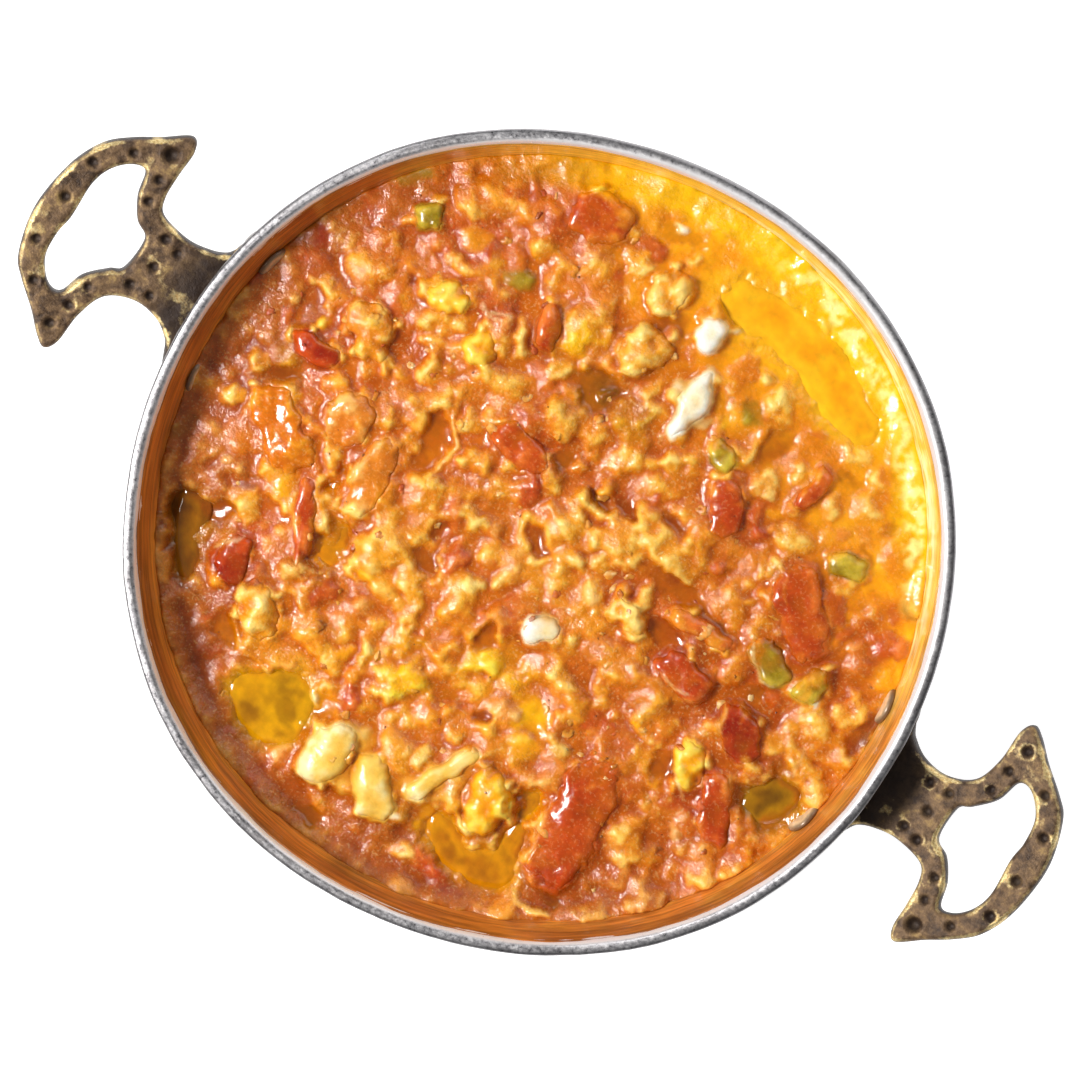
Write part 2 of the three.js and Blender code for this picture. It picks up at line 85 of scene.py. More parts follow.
def cell_hash(cell: Array, seed: int) -> Array:
    """Gives each whole-number cell a fixed random integer."""
    c = cell.astype(np.int64)
    h = (c[..., 0] * 73856093) ^ (c[..., 1] * 19349663) ^ (c[..., 2] * 83492791) ^ (seed * 40503)
    h &= 0xFFFFFFFF
    h = ((h ^ (h >> 15)) * 0x2C1B3C6D) & 0xFFFFFFFF
    h = ((h ^ (h >> 12)) * 0x297A2D39) & 0xFFFFFFFF
    return h ^ (h >> 15)


GRADIENTS = np.array([g for g in product((-1, 0, 1), repeat=3) if sum(map(abs, g)) == 2], float)


def ripple(points: Array, seed: int) -> Array:
    """Gradient noise of about -1 to 1, one cycle to a unit."""
    base = np.floor(points)
    part = points - base
    ease = part ** 3 * (part * (part * 6 - 15) + 10)
    total = np.zeros(points.shape[:-1])
    for corner in product((0, 1), repeat=3):
        offset = np.array(corner, float)
        slope = GRADIENTS[cell_hash(base + offset, seed) % len(GRADIENTS)]
        weight = np.prod(np.where(offset > 0, ease, 1 - ease), axis=-1)
        total += weight * np.sum((part - offset) * slope, axis=-1)
    return total * 1.4


def cloud(points: Array, size: float, seed: int, octaves: int = 3) -> Array:
    """Layered gradient noise.

    Args:
        points: Places in millimetres, (..., 3).
        size: The coarsest grain in millimetres.
        seed: Which noise.
        octaves: How many layers, each half the size of the one before.

    Returns:
        About -1 to 1 for each place.
    """
    total = np.zeros(points.shape[:-1])
    for k in range(octaves):
        total += 0.55 ** k * ripple(points * (2 ** k / size), seed + 17 * k)
    return total


def pebbles(x: Array, y: Array, size: float, seed: int) -> tuple[Array, Array]:
    """Packed round cells.

    Args:
        x, y: Places in millimetres.
        size: Cell spacing in millimetres.
        seed: Which packing.

    Returns:
        Distance to the nearest cell's centre, in cells, and a random number from 0 to 1 that is
        the cell's own.
    """
    px, py = x / size, y / size
    bx, by = np.floor(px), np.floor(py)
    first = np.full(x.shape, 9.0)
    own = np.zeros(x.shape)
    for dx, dy in product((-1, 0, 1), repeat=2):
        cell = np.stack([bx + dx, by + dy, np.zeros_like(bx)], -1)
        a = cell_hash(cell, seed) / 2 ** 32
        b = cell_hash(cell, seed + 1) / 2 ** 32
        away = np.hypot(cell[..., 0] + 0.08 + 0.84 * a - px, cell[..., 1] + 0.08 + 0.84 * b - py)
        nearer = away < first
        own = np.where(nearer, cell_hash(cell, seed + 2) / 2 ** 32, own)
        first = np.where(nearer, away, first)
    return first, own


def soften(grid: Array, radius: float) -> Array:
    """Blurs a square grid of heights or colours by repeated running means.

    Args:
        grid: Rows and columns first.
        radius: Blur radius in grid steps.

    Returns:
        The blurred grid.
    """
    reach = max(1, int(round(radius / math.sqrt(3))))
    result = grid.astype(float)
    for _ in range(3):
        for axis in (0, 1):
            pad = [(0, 0)] * result.ndim
            pad[axis] = (reach + 1, reach)
            total = np.cumsum(np.pad(result, pad, mode="edge"), axis=axis)
            count = total.shape[axis]
            high = np.take(total, range(2 * reach + 1, count), axis=axis)
            low = np.take(total, range(0, count - 2 * reach - 1), axis=axis)
            result = (high - low) / (2 * reach + 1)
    return result


# ---------------------------------------------------------------- meshes
def make_piece(name: str, places: Array, faces: Sequence[Sequence[int]], material: bpy.types.Material,
               tint: Array | None = None, traits: Array | None = None) -> bpy.types.Object:
    """Makes a mesh object that rides on the root body.

    Args:
        name: The piece's name.
        places: Vertices in millimetres, (n, 3).
        faces: Vertex numbers of each face, facing out.
        material: Its finish.
        tint: Linear colour of each vertex, (n, 3), if it has its own.
        traits: Three more values of each vertex, (n, 3), that its finish reads.

    Returns:
        The object.
    """
    mesh = bpy.data.meshes.new(name)
    mesh.from_pydata((np.asarray(places, float) * MM).tolist(), [], [list(f) for f in faces])
    for label, values in (("tint", tint), ("traits", traits)):
        if values is not None:
            layer = mesh.color_attributes.new(label, "FLOAT_COLOR", "POINT")
            full = np.ones((len(places), 4))
            full[:, :3] = values
            layer.data.foreach_set("color", full.ravel())
    mesh.materials.append(material)
    mesh.shade_smooth()
    mesh.validate()
    piece = bpy.data.objects.new(name, mesh)
    bpy.context.scene.collection.objects.link(piece)
    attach(piece, ROOT)
    LOG.info("%s: %d faces", name, len(mesh.polygons))
    return piece


def loft(rings: Sequence[Sequence[int]]) -> list[tuple[int, ...]]:
    """Joins closed rings of vertices in order; a ring of one vertex is a pole."""
    faces: list[tuple[int, ...]] = []
    for low, high in zip(rings, rings[1:]):
        if len(low) == len(high):
            n = len(low)
            faces += [(low[i], low[(i + 1) % n], high[(i + 1) % n], high[i]) for i in range(n)]
            continue
        a = b = 0
        while a < len(low) or b < len(high):
            step_low = b >= len(high) or (a < len(low) and (a + 1) * len(high) <= (b + 1) * len(low))
            at_low, at_high = low[a % len(low)], high[b % len(high)]
            if step_low:
                a += 1
                if len(low) > 1:
                    faces.append((at_low, low[a % len(low)], at_high))
            else:
                b += 1
                if len(high) > 1:
                    faces.append((at_low, high[b % len(high)], at_high))
    return faces


# ---------------------------------------------------------------- materials
def add_node(tree: bpy.types.NodeTree, kind: str, settings: dict | None = None,
             links: dict | None = None) -> bpy.types.Node:
    """Adds a node with its settings and links.

    Args:
        tree: The material's node tree.
        kind: Blender's name of the node type.
        settings: Attribute names, or input names or numbers, to values.
        links: Input names or numbers to the sockets that feed them.

    Returns:
        The node.
    """
    node = tree.nodes.new(kind)
    for key, value in (settings or {}).items():
        if isinstance(key, int) or key in node.inputs:
            node.inputs[key].default_value = value
        else:
            setattr(node, key, value)
    for key, socket in (links or {}).items():
        tree.links.new(socket, node.inputs[key])
    return node


def new_material(name: str) -> tuple[bpy.types.Material, bpy.types.NodeTree, bpy.types.Node]:
    """Makes an empty node material and gives it, its tree and its output node."""
    material = bpy.data.materials.new(name)
    material.use_nodes = True
    tree = material.node_tree
    tree.nodes.clear()
    return material, tree, add_node(tree, "ShaderNodeOutputMaterial")


def ramp(tree: bpy.types.NodeTree, factor: bpy.types.NodeSocket,
         stops: Sequence[tuple[float, Colour]]) -> bpy.types.NodeSocket:
    """Puts a colour ramp on a value.

    Args:
        tree: The material's node tree.
        factor: The value.
        stops: Position and linear colour of each stop.

    Returns:
        The colour socket.
    """
    node = add_node(tree, "ShaderNodeValToRGB", {}, {"Fac": factor})
    bar = node.color_ramp
    while len(bar.elements) < len(stops):
        bar.elements.new(0.5)
    for element, (place, colour) in zip(bar.elements, stops):
        element.position = place
        element.color = (*colour, 1)
    return node.outputs["Color"]


def millimetres(tree: bpy.types.NodeTree) -> bpy.types.NodeSocket:
    """Gives the place on the object in millimetres, so that a pattern's scale is one over its size."""
    place = add_node(tree, "ShaderNodeTexCoord").outputs["Object"]
    return add_node(tree, "ShaderNodeVectorMath", {"operation": "SCALE", "Scale": 1 / MM},
                    {0: place}).outputs[0]


@dataclass(frozen=True)
class WetFood:
    """Soft cooked food under a film of oil.

    Its light goes a little way in and comes out warmer, and the film gives small sharp highlights.
    The colour and the share of standing liquid are the mesh's own, worked out where it is built.
    """
    name: str
    depth_mm: float = 1.6
    scatter: float = 0.3
    roughness: float = 0.42
    film: float = 0.5
    grain_mm: float = 0.9
    grain_depth_mm: float = 0.12
    speckle: float = 0.16
    flecks: float = 0.35

    def build(self) -> bpy.types.Material:
        """Makes the material."""
        material, tree, output = new_material(self.name)
        place = millimetres(tree)
        tint = add_node(tree, "ShaderNodeVertexColor", {"layer_name": "tint"}).outputs["Color"]
        traits = add_node(tree, "ShaderNodeVertexColor", {"layer_name": "traits"}).outputs["Color"]
        split = add_node(tree, "ShaderNodeSeparateColor", {}, {"Color": traits})
        liquid, rough, curds = (split.outputs[c] for c in ("Red", "Green", "Blue"))
        fine = add_node(tree, "ShaderNodeTexNoise",
                        {"Scale": 1 / self.grain_mm, "Detail": 2.5, "Roughness": 0.62}, {"Vector": place})
        mottle = add_node(tree, "ShaderNodeTexNoise",
                          {"Scale": 1 / (3.1 * self.grain_mm), "Detail": 2, "Roughness": 0.6},
                          {"Vector": place})
        shade = add_node(tree, "ShaderNodeMath", {"operation": "ADD"},
                         {0: fine.outputs["Fac"], 1: mottle.outputs["Fac"]})
        gain = add_node(tree, "ShaderNodeMapRange",
                        {"From Min": 0.7, "From Max": 1.3,
                         "To Min": 1 - self.speckle, "To Max": 1 + self.speckle},
                        {"Value": shade.outputs[0]})
        toned = add_node(tree, "ShaderNodeVectorMath", {"operation": "SCALE"},
                         {0: tint, "Scale": gain.outputs["Result"]})
        # Flecks of pale egg, 0.7 mm across, where there are curds.
        fleck = add_node(tree, "ShaderNodeTexNoise", {"Scale": 1 / 0.7, "Detail": 1, "Roughness": 0.5},
                         {"Vector": place})
        pale = add_node(tree, "ShaderNodeMapRange",
                        {"From Min": 0.56, "From Max": 0.72, "To Max": self.flecks},
                        {"Value": fleck.outputs["Fac"]})
        pale_share = add_node(tree, "ShaderNodeMath", {"operation": "MULTIPLY"},
                              {0: pale.outputs[0], 1: curds})
        colour = add_node(tree, "ShaderNodeMix", {"data_type": "RGBA", 7: (*linear("FFDE94"), 1)},
                          {0: pale_share.outputs[0], 6: toned.outputs[0]})
        gloss = add_node(tree, "ShaderNodeMapRange",
                         {"From Min": 0, "From Max": 1, "To Min": self.roughness, "To Max": 0.07},
                         {"Value": liquid})
        uneven = add_node(tree, "ShaderNodeMapRange",
                          {"From Min": 0.3, "From Max": 0.7, "To Min": 0.7, "To Max": 1.3},
                          {"Value": mottle.outputs["Fac"]})
        final_rough = add_node(tree, "ShaderNodeMath", {"operation": "MULTIPLY", "use_clamp": True},
                               {0: gloss.outputs["Result"], 1: uneven.outputs["Result"]})
        still = add_node(tree, "ShaderNodeMapRange",
                         {"From Min": 0, "From Max": 0.8, "To Min": 1, "To Max": 0.06}, {"Value": liquid})
        bump_share = add_node(tree, "ShaderNodeMath", {"operation": "MULTIPLY"},
                              {0: still.outputs["Result"], 1: rough})
        bump = add_node(tree, "ShaderNodeBump", {"Distance": self.grain_depth_mm * MM * 4},
                        {"Height": fine.outputs["Fac"], "Strength": bump_share.outputs[0]})
        skin = add_node(tree, "ShaderNodeBsdfPrincipled",
                        {"subsurface_method": "BURLEY", "IOR": 1.45, "Specular IOR Level": 0.35,
                         "Subsurface Weight": self.scatter, "Subsurface Scale": self.depth_mm * MM,
                         "Subsurface Radius": (1.0, 0.42, 0.16),
                         "Coat Weight": self.film, "Coat Roughness": 0.06, "Coat IOR": 1.47},
                        {"Base Color": colour.outputs[2], "Roughness": final_rough.outputs[0],
                         "Normal": bump.outputs[0], "Coat Normal": bump.outputs[0]})
        tree.links.new(skin.outputs[0], output.inputs["Surface"])
        return material


@dataclass(frozen=True)
class SpunAluminium:
    """Aluminium spun on a lathe, worn by years of spoons: fine rings, scratches and dark stains."""
    name: str = "spun_aluminium"

    def build(self) -> bpy.types.Material:
        """Makes the material."""
        material, tree, output = new_material(self.name)
        place = millimetres(tree)
        parts = add_node(tree, "ShaderNodeSeparateXYZ", {}, {0: place})
        radius = add_node(tree, "ShaderNodeVectorMath", {"operation": "LENGTH"},
                          {0: add_node(tree, "ShaderNodeCombineXYZ", {},
                                       {"X": parts.outputs["X"], "Y": parts.outputs["Y"]}).outputs[0]})
        # Lathe rings: stretched a long way round, 0.25 mm across.
        ring = add_node(tree, "ShaderNodeCombineXYZ", {},
                        {"X": radius.outputs["Value"], "Z": parts.outputs["Z"]})
        rings = add_node(tree, "ShaderNodeTexNoise", {"Scale": 4.0, "Detail": 2},
                         {"Vector": ring.outputs[0]})
        grain = add_node(tree, "ShaderNodeTexNoise", {"Scale": 1 / 0.8, "Detail": 5, "Roughness": 0.7},
                         {"Vector": place})
        stain = add_node(tree, "ShaderNodeTexNoise", {"Scale": 1 / 9, "Detail": 5, "Roughness": 0.65},
                         {"Vector": place})
        cuts = add_node(tree, "ShaderNodeTexWave",
                        {"wave_type": "RINGS", "Scale": 0.35, "Distortion": 14, "Detail": 4,
                         "Detail Scale": 2.2, "Detail Roughness": 0.7}, {"Vector": place})
        dark = ramp(tree, grain.outputs["Fac"], [
            (0.3, linear("98969A")), (0.44, linear("C4C2C6")),
            (0.6, linear("E0DEE0")), (0.8, linear("F6F4F4"))])
        worn = ramp(tree, stain.outputs["Fac"], [(0.34, linear("8E8886")), (0.5, linear("FFFFFF"))])
        scored = ramp(tree, cuts.outputs["Fac"], [(0.0, linear("5A5658")), (0.08, linear("FFFFFF"))])
        first = add_node(tree, "ShaderNodeMix", {"data_type": "RGBA", "blend_type": "MULTIPLY", 0: 0.5},
                         {6: dark, 7: worn})
        colour = add_node(tree, "ShaderNodeMix", {"data_type": "RGBA", "blend_type": "MULTIPLY", 0: 0.35},
                          {6: first.outputs[2], 7: scored})
        # The rim's inner bevel is whitened by the traits' red: rubbed bright by lids and spoons all round,
        # and a painted highlight where the band widens on the lit side; its outer edge keeps its dull skin.
        traits = add_node(tree, "ShaderNodeVertexColor", {"layer_name": "traits"}).outputs["Color"]
        split = add_node(tree, "ShaderNodeSeparateColor", {}, {"Color": traits})
        rubbed_and_highlit = add_node(tree, "ShaderNodeMix", {"data_type": "RGBA", 7: (*linear("F0EEF0"), 1)},
                            {0: split.outputs["Red"], 6: colour.outputs[2]})
        dulled = add_node(tree, "ShaderNodeMix", {"data_type": "RGBA", 7: (*linear("6A686A"), 1)},
                          {0: split.outputs["Green"], 6: rubbed_and_highlit.outputs[2]})
        rough = add_node(tree, "ShaderNodeMapRange",
                         {"From Min": 0.3, "From Max": 0.7, "To Min": 0.24, "To Max": 0.5},
                         {"Value": grain.outputs["Fac"]})
        height = add_node(tree, "ShaderNodeMath", {"operation": "ADD"},
                          {0: rings.outputs["Fac"], 1: grain.outputs["Fac"]})
        bump = add_node(tree, "ShaderNodeBump", {"Strength": 0.25, "Distance": 0.12 * MM},
                        {"Height": height.outputs[0]})
        # Rubbed to a satin white and whitened further by the painted highlight, the bevel scatters light
        # more than it mirrors.
        satin = add_node(tree, "ShaderNodeMapRange", {"To Min": 1.0, "To Max": 0.3},
                         {"Value": split.outputs["Red"]})
        metal = add_node(tree, "ShaderNodeBsdfPrincipled", {},
                         {"Base Color": dulled.outputs[2], "Metallic": satin.outputs[0],
                          "Roughness": rough.outputs[0], "Normal": bump.outputs[0]})
        tree.links.new(metal.outputs[0], output.inputs["Surface"])
        return material


@dataclass(frozen=True)
class CastBrass:
    """Sand-cast brass under a dark brown patina, rubbed bright round its pits, its edges lightened both by
    rubbing and by painted highlight.

    The mesh's traits give in red the rubbed and highlit places, and in green the painted shade of the neck
    by the pan and of the side edges, with the darkened pits.
    """
    name: str = "cast_brass"

    def build(self) -> bpy.types.Material:
        """Makes the material."""
        material, tree, output = new_material(self.name)
        place = millimetres(tree)
        traits = add_node(tree, "ShaderNodeVertexColor", {"layer_name": "traits"}).outputs["Color"]
        split = add_node(tree, "ShaderNodeSeparateColor", {}, {"Color": traits})
        mottle = add_node(tree, "ShaderNodeTexNoise", {"Scale": 1 / 3.5, "Detail": 6, "Roughness": 0.72},
                          {"Vector": place})
        grit = add_node(tree, "ShaderNodeTexNoise", {"Scale": 1 / 0.45, "Detail": 4, "Roughness": 0.7},
                        {"Vector": place})
        patina = ramp(tree, mottle.outputs["Fac"], [
            (0.3, linear("2C1E16")), (0.44, linear("5A4430")),
            (0.56, linear("84684A")), (0.7, linear("B89860"))])
        # Painted shade: the green trait darkens the neck by the pan, the plate's side edges and its pits.
        shade_and_dark_pits = add_node(tree, "ShaderNodeMix", {"data_type": "RGBA", 7: (*linear("281C18"), 1)},
                       {0: split.outputs["Green"], 6: patina})
        ragged = add_node(tree, "ShaderNodeMath", {"operation": "MULTIPLY_ADD", 1: 1.1, 2: -0.55},
                          {0: mottle.outputs["Fac"]})
        # Rubbed brass and painted highlight: the red trait lightens the plate's edges all round.
        wear_and_edge_highlight = add_node(tree, "ShaderNodeMath", {"operation": "ADD"},
                        {0: split.outputs["Red"], 1: ragged.outputs[0]})
        share = add_node(tree, "ShaderNodeMapRange", {"From Min": 0.22, "From Max": 0.58},
                         {"Value": wear_and_edge_highlight.outputs[0]})
        bright = ramp(tree, grit.outputs["Fac"], [(0.35, linear("CCA260")), (0.62, linear("FFEDB4"))])
        colour = add_node(tree, "ShaderNodeMix", {"data_type": "RGBA"},
                          {0: share.outputs[0], 6: shade_and_dark_pits.outputs[2], 7: bright})
        metallic = add_node(tree, "ShaderNodeMapRange", {"To Min": 0.35, "To Max": 1.0},
                            {"Value": share.outputs[0]})
        rough = add_node(tree, "ShaderNodeMapRange",
                         {"From Min": 0.3, "From Max": 0.7, "To Min": 0.34, "To Max": 0.6},
                         {"Value": mottle.outputs["Fac"]})
        height = add_node(tree, "ShaderNodeMath", {"operation": "ADD"},
                          {0: mottle.outputs["Fac"], 1: grit.outputs["Fac"]})
        bump = add_node(tree, "ShaderNodeBump", {"Strength": 0.5, "Distance": 0.35 * MM},
                        {"Height": height.outputs[0]})
        metal = add_node(tree, "ShaderNodeBsdfPrincipled", {},
                         {"Base Color": colour.outputs[2], "Metallic": metallic.outputs[0],
                          "Roughness": rough.outputs[0], "Normal": bump.outputs[0]})
        tree.links.new(metal.outputs[0], output.inputs["Surface"])
        return material


@dataclass(frozen=True)
class SauceFilm:
    """Oil and tomato juice dried to a thin glossy film on the pan's wall, drawn out round it in streaks."""
    name: str = "sauce_film"

    def build(self) -> bpy.types.Material:
        """Makes the material."""
        material, tree, output = new_material(self.name)
        place = millimetres(tree)
        tint = add_node(tree, "ShaderNodeVertexColor", {"layer_name": "tint"}).outputs["Color"]
        # Streaks run round the wall: noise on height and angle, 0.9 mm high and 19 mm long.
        parts = add_node(tree, "ShaderNodeSeparateXYZ", {}, {0: place})
        angle = add_node(tree, "ShaderNodeMath", {"operation": "ARCTAN2"},
                         {0: parts.outputs["Y"], 1: parts.outputs["X"]})
        run = add_node(tree, "ShaderNodeMath", {"operation": "MULTIPLY", 1: 4.5}, {0: angle.outputs[0]})
        rise = add_node(tree, "ShaderNodeMath", {"operation": "MULTIPLY", 1: 1.1}, {0: parts.outputs["Z"]})
        spread = add_node(tree, "ShaderNodeCombineXYZ", {}, {"X": run.outputs[0], "Y": rise.outputs[0]})
        streak = add_node(tree, "ShaderNodeTexNoise", {"Scale": 1.0, "Detail": 5, "Roughness": 0.62},
                          {"Vector": spread.outputs[0]})
        gain = add_node(tree, "ShaderNodeMapRange",
                        {"From Min": 0.36, "From Max": 0.66, "To Min": 0.6, "To Max": 1.45},
                        {"Value": streak.outputs["Fac"]})
        colour = add_node(tree, "ShaderNodeVectorMath", {"operation": "SCALE"},
                          {0: tint, "Scale": gain.outputs["Result"]})
        bump = add_node(tree, "ShaderNodeBump", {"Strength": 0.4, "Distance": 0.2 * MM},
                        {"Height": streak.outputs["Fac"]})
        film = add_node(tree, "ShaderNodeBsdfPrincipled",
                        {"Roughness": 0.3, "IOR": 1.47, "Coat Weight": 0.5, "Coat Roughness": 0.1},
                        {"Base Color": colour.outputs[0], "Normal": bump.outputs[0]})
        tree.links.new(film.outputs[0], output.inputs["Surface"])
        return material


@dataclass(frozen=True)
class HammeredRivet:
    """An aluminium rivet head set by hammer: small flat dents under a thin stain of oil."""
    name: str = "hammered_rivet"

    def build(self) -> bpy.types.Material:
        """Makes the material."""
        material, tree, output = new_material(self.name)
        place = millimetres(tree)
        tint = add_node(tree, "ShaderNodeVertexColor", {"layer_name": "tint"}).outputs["Color"]
        # Hammer marks, 1.2 mm across.
        dents = add_node(tree, "ShaderNodeTexNoise", {"Scale": 1 / 1.2, "Detail": 3, "Roughness": 0.6},
                         {"Vector": place})
        gain = add_node(tree, "ShaderNodeMapRange",
                        {"From Min": 0.3, "From Max": 0.7, "To Min": 0.75, "To Max": 1.1},
                        {"Value": dents.outputs["Fac"]})
        colour = add_node(tree, "ShaderNodeVectorMath", {"operation": "SCALE"},
                          {0: tint, "Scale": gain.outputs["Result"]})
        bump = add_node(tree, "ShaderNodeBump", {"Strength": 0.4, "Distance": 0.25 * MM},
                        {"Height": dents.outputs["Fac"]})
        metal = add_node(tree, "ShaderNodeBsdfPrincipled",
                         {"Metallic": 0.15, "Roughness": 0.34, "Coat Weight": 0.5},
                         {"Base Color": colour.outputs[0], "Normal": bump.outputs[0]})
        tree.links.new(metal.outputs[0], output.inputs["Surface"])
        return material


# ---------------------------------------------------------------- the pan
@dataclass(frozen=True)
class PanShape:
    """The pan's form, which the food and the fittings share. Lengths are millimetres."""
    rim_radius: float = 90
    height: float = 42
    wall: float = 2
    flare: float = math.radians(12.7)
    corner: float = 10
    lip_width: float = 2.8
    lip_depth: float = 3.2
    swells: tuple[tuple[int, float, float], ...] = ((4, 0.6, math.radians(-28)), (2, 0.3, 0.0))

    def inner(self, z: Array | float) -> Array | float:
        """Inner radius at a height, before the swell."""
        return self.rim_radius - self.lip_width - (self.height - z) * math.tan(self.flare)

    def outer(self, z: Array | float) -> Array | float:
        """Outer radius at a height, before the swell."""
        return self.inner(z) + self.wall / math.cos(self.flare)

    def swell(self, radius: Array, angle: Array, z: Array) -> Array:
        """How far a round line is pushed out of round."""
        share = radius / self.rim_radius * (z / self.height)
        return share * sum(size * np.cos(lobes * (angle - turn)) for lobes, size, turn in self.swells)

    def corner_arc(self, radius: float, steps: int) -> list[tuple[float, float]]:
        """Points of the rounded corner between floor and wall, from the floor up."""
        centre = self.outer(self.corner) - self.corner / math.cos(self.flare)
        turns = np.linspace(-math.pi / 2, -self.flare, steps + 1)
        return [(centre + radius * math.cos(t), self.corner + radius * math.sin(t)) for t in turns]

    def spin(self, profile: Sequence[tuple[float, float]],
             sides: int) -> tuple[Array, list[tuple[int, ...]]]:
        """Spins a profile that starts and ends on the axis and pushes it out of round.

        Args:
            profile: Radius and height of each point, outside first.
            sides: Points round the axis.

        Returns:
            Vertices and faces.
        """
        angles = np.linspace(0, 2 * math.pi, sides, endpoint=False)
        places: list[tuple[float, float, float]] = []
        rings: list[list[int]] = []
        for radius, z in profile:
            if radius < 1e-6:
                rings.append([len(places)])
                places.append((0, 0, z))
                continue
            reach = radius + self.swell(np.full(sides, radius), angles, np.full(sides, z))
            rings.append(list(range(len(places), len(places) + sides)))
            places += zip(reach * np.cos(angles), reach * np.sin(angles), np.full(sides, z))
        return np.array(places), loft(rings)


@dataclass
class Pan:
    """The spun bowl with its worn rim, and the film of sauce on its wall."""
    shape: PanShape
    sides: int = 300
    film_low: float = 24
    film_high: float = 40.6
    film_thickness: float = 0.14

    def profile(self) -> list[tuple[float, float]]:
        """Outline of the pan's section, from the middle of the base up, over the rim and back inside."""
        s = self.shape
        top, rim = s.height, s.rim_radius
        lip_foot = top - s.lip_depth
        rounded = [(rim - 1.1, lip_foot - 0.9), (rim - 0.45, lip_foot - 0.5), (rim - 0.1, lip_foot),
                   (rim + 0.05, lip_foot + 0.8), (rim + 0.05, top - 1.1), (rim - 0.05, top - 0.55),
                   (rim - 0.25, top - 0.22), (rim - 0.55, top - 0.04), (rim - 0.9, top),
                   (rim - 1.5, top + 0.02), (rim - 1.95, top - 0.04), (rim - 2.3, top - 0.22),
                   (rim - 2.6, top - 0.55), (rim - 2.85, top - 1.0)]
        heights = np.linspace(top - 1.8, s.corner + 1, 9)
        outside = [(s.outer(z), z) for z in np.linspace(s.corner + 1, lip_foot - 1.3, 7)]
        inside = [(s.inner(z), z) for z in heights]
        return [(0, 0), (40, 0), (70, 0), *s.corner_arc(s.corner, 8), *outside, *rounded, *inside,
                *reversed(s.corner_arc(s.corner - s.wall, 6)), (60, s.wall), (0, s.wall)]

    def build(self) -> None:
        """Builds the pan in place of the plain one."""
        places, faces = self.shape.spin(self.profile(), self.sides)
        dents = cloud(places, 18, 5, 2) * 0.12 + cloud(places, 4, 9, 2) * 0.035
        on_rim = smooth(self.shape.height - 6, self.shape.height - 2, places[:, 2])
        places[:, 2] += dents * on_rim
        radial = places[:, :2] / np.maximum(np.hypot(places[:, 0], places[:, 1])[:, None], 1)
        places[:, :2] += radial * (dents * on_rim)[:, None]
        around = np.arctan2(places[:, 1], places[:, 0])
        radius = np.hypot(places[:, 0], places[:, 1])
        radius -= self.shape.swell(radius, around, places[:, 2])
        rim = self.shape.rim_radius
        # Rubbed bevel and painted highlight: the white band runs all round the rim and widens towards 62
        # degrees, the side the lamps light.
        bevel = rim - 2.1 + 0.9 * smooth(0.0, 0.85, np.cos(around - math.radians(62)))
        bright = smooth(bevel, bevel - 0.5, radius) * on_rim
        dull = 0.65 * smooth(rim - 1.2, rim - 0.5, radius) * on_rim
        traits = np.column_stack([bright, dull, np.zeros(len(places))])
        piece = make_piece("pan_spun", places, faces, SpunAluminium().build(), traits=traits)
        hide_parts("pan")
        self.build_film()

    def film_colour(self, angle: Array, z: Array) -> Array:
        """Colour of the film round the wall: brown where juice has dried, gold on the lit side where the
        oil lies, partly painted light, and a pale band of painted highlight there.

        Args:
            angle: Radians from +X.
            z: Height in millimetres.

        Returns:
            Linear colours.
        """
        brown, deep, orange = (np.array(linear(c)) for c in ("CC7A30", "8E5220", "EC9C38"))
        gold, pale = (np.array(linear(c)) for c in ("FFC850", "FFF8C0"))
        place = np.stack([np.cos(angle) * 85, np.sin(angle) * 85, z * 3], -1)
        wander = cloud(place, 22, 31, 3)
        level = (z - 29) / 12
        colour = blend(np.broadcast_to(brown, place.shape), orange, smooth(-0.2, 0.8, wander + 0.3 - level))
        colour = blend(colour, deep, smooth(0.45, 1.0, level + 0.35 * wander) * 0.8)
        # Oil colour and painted light: the gold is laid on the lit side of the wall.
        oil_and_lit_side = smooth(0.15, 0.75, np.cos(angle - math.radians(70)) + 0.12 * wander)
        colour = blend(colour, gold, oil_and_lit_side * smooth(1.2, 0.7, level))
        # Painted highlight: a broken pale band on the lit side of the wall.
        bright = smooth(0.6, 0.95, np.cos(angle - math.radians(58)))
        bright = bright * smooth(0.1, 0.5, cloud(place, 9, 33, 3) + 0.35)
        return blend(colour, pale, bright * smooth(0.55, 0.1, np.abs(level - 0.25)))

    def build_film(self) -> None:
        """Builds the film of sauce that the food has left on the wall."""
        s = self.shape
        count, rows = 480, 30
        angles = np.linspace(0, 2 * math.pi, count, endpoint=False)
        ring_place = np.stack([np.cos(angles) * 85, np.sin(angles) * 85, np.zeros(count)], -1)
        high = self.film_high + 0.35 * cloud(ring_place, 14, 3, 4)
        steps = np.linspace(0, 1, rows)
        z = self.film_low + np.outer(steps, high - self.film_low)
        around = np.broadcast_to(angles, z.shape)
        wall = s.inner(z) + s.swell(s.inner(z), around, z)
        full = np.stack([np.cos(around) * 85, np.sin(around) * 85, z], -1)
        lumps = self.film_thickness * (1 + 0.5 * cloud(full, 3.5, 8, 3))
        lumps *= smooth(1.0, 0.9, steps)[:, None] * 0.92 + 0.08
        front = wall - np.maximum(lumps, 0.03)
        back = wall + 0.25
        places = np.concatenate([np.stack([r * np.cos(around), r * np.sin(around), z], -1).reshape(-1, 3)
                                 for r in (front, back)])
        sheet = [list(range(k * count, (k + 1) * count)) for k in range(2 * rows)]
        order = sheet[:rows][::-1] + sheet[rows:]
        faces = loft(order + order[:1])
        tint = self.film_colour(np.concatenate([around, around]).ravel(), np.concatenate([z, z]).ravel())
        piece = make_piece("sauce_film", places, faces, SauceFilm().build(), tint)


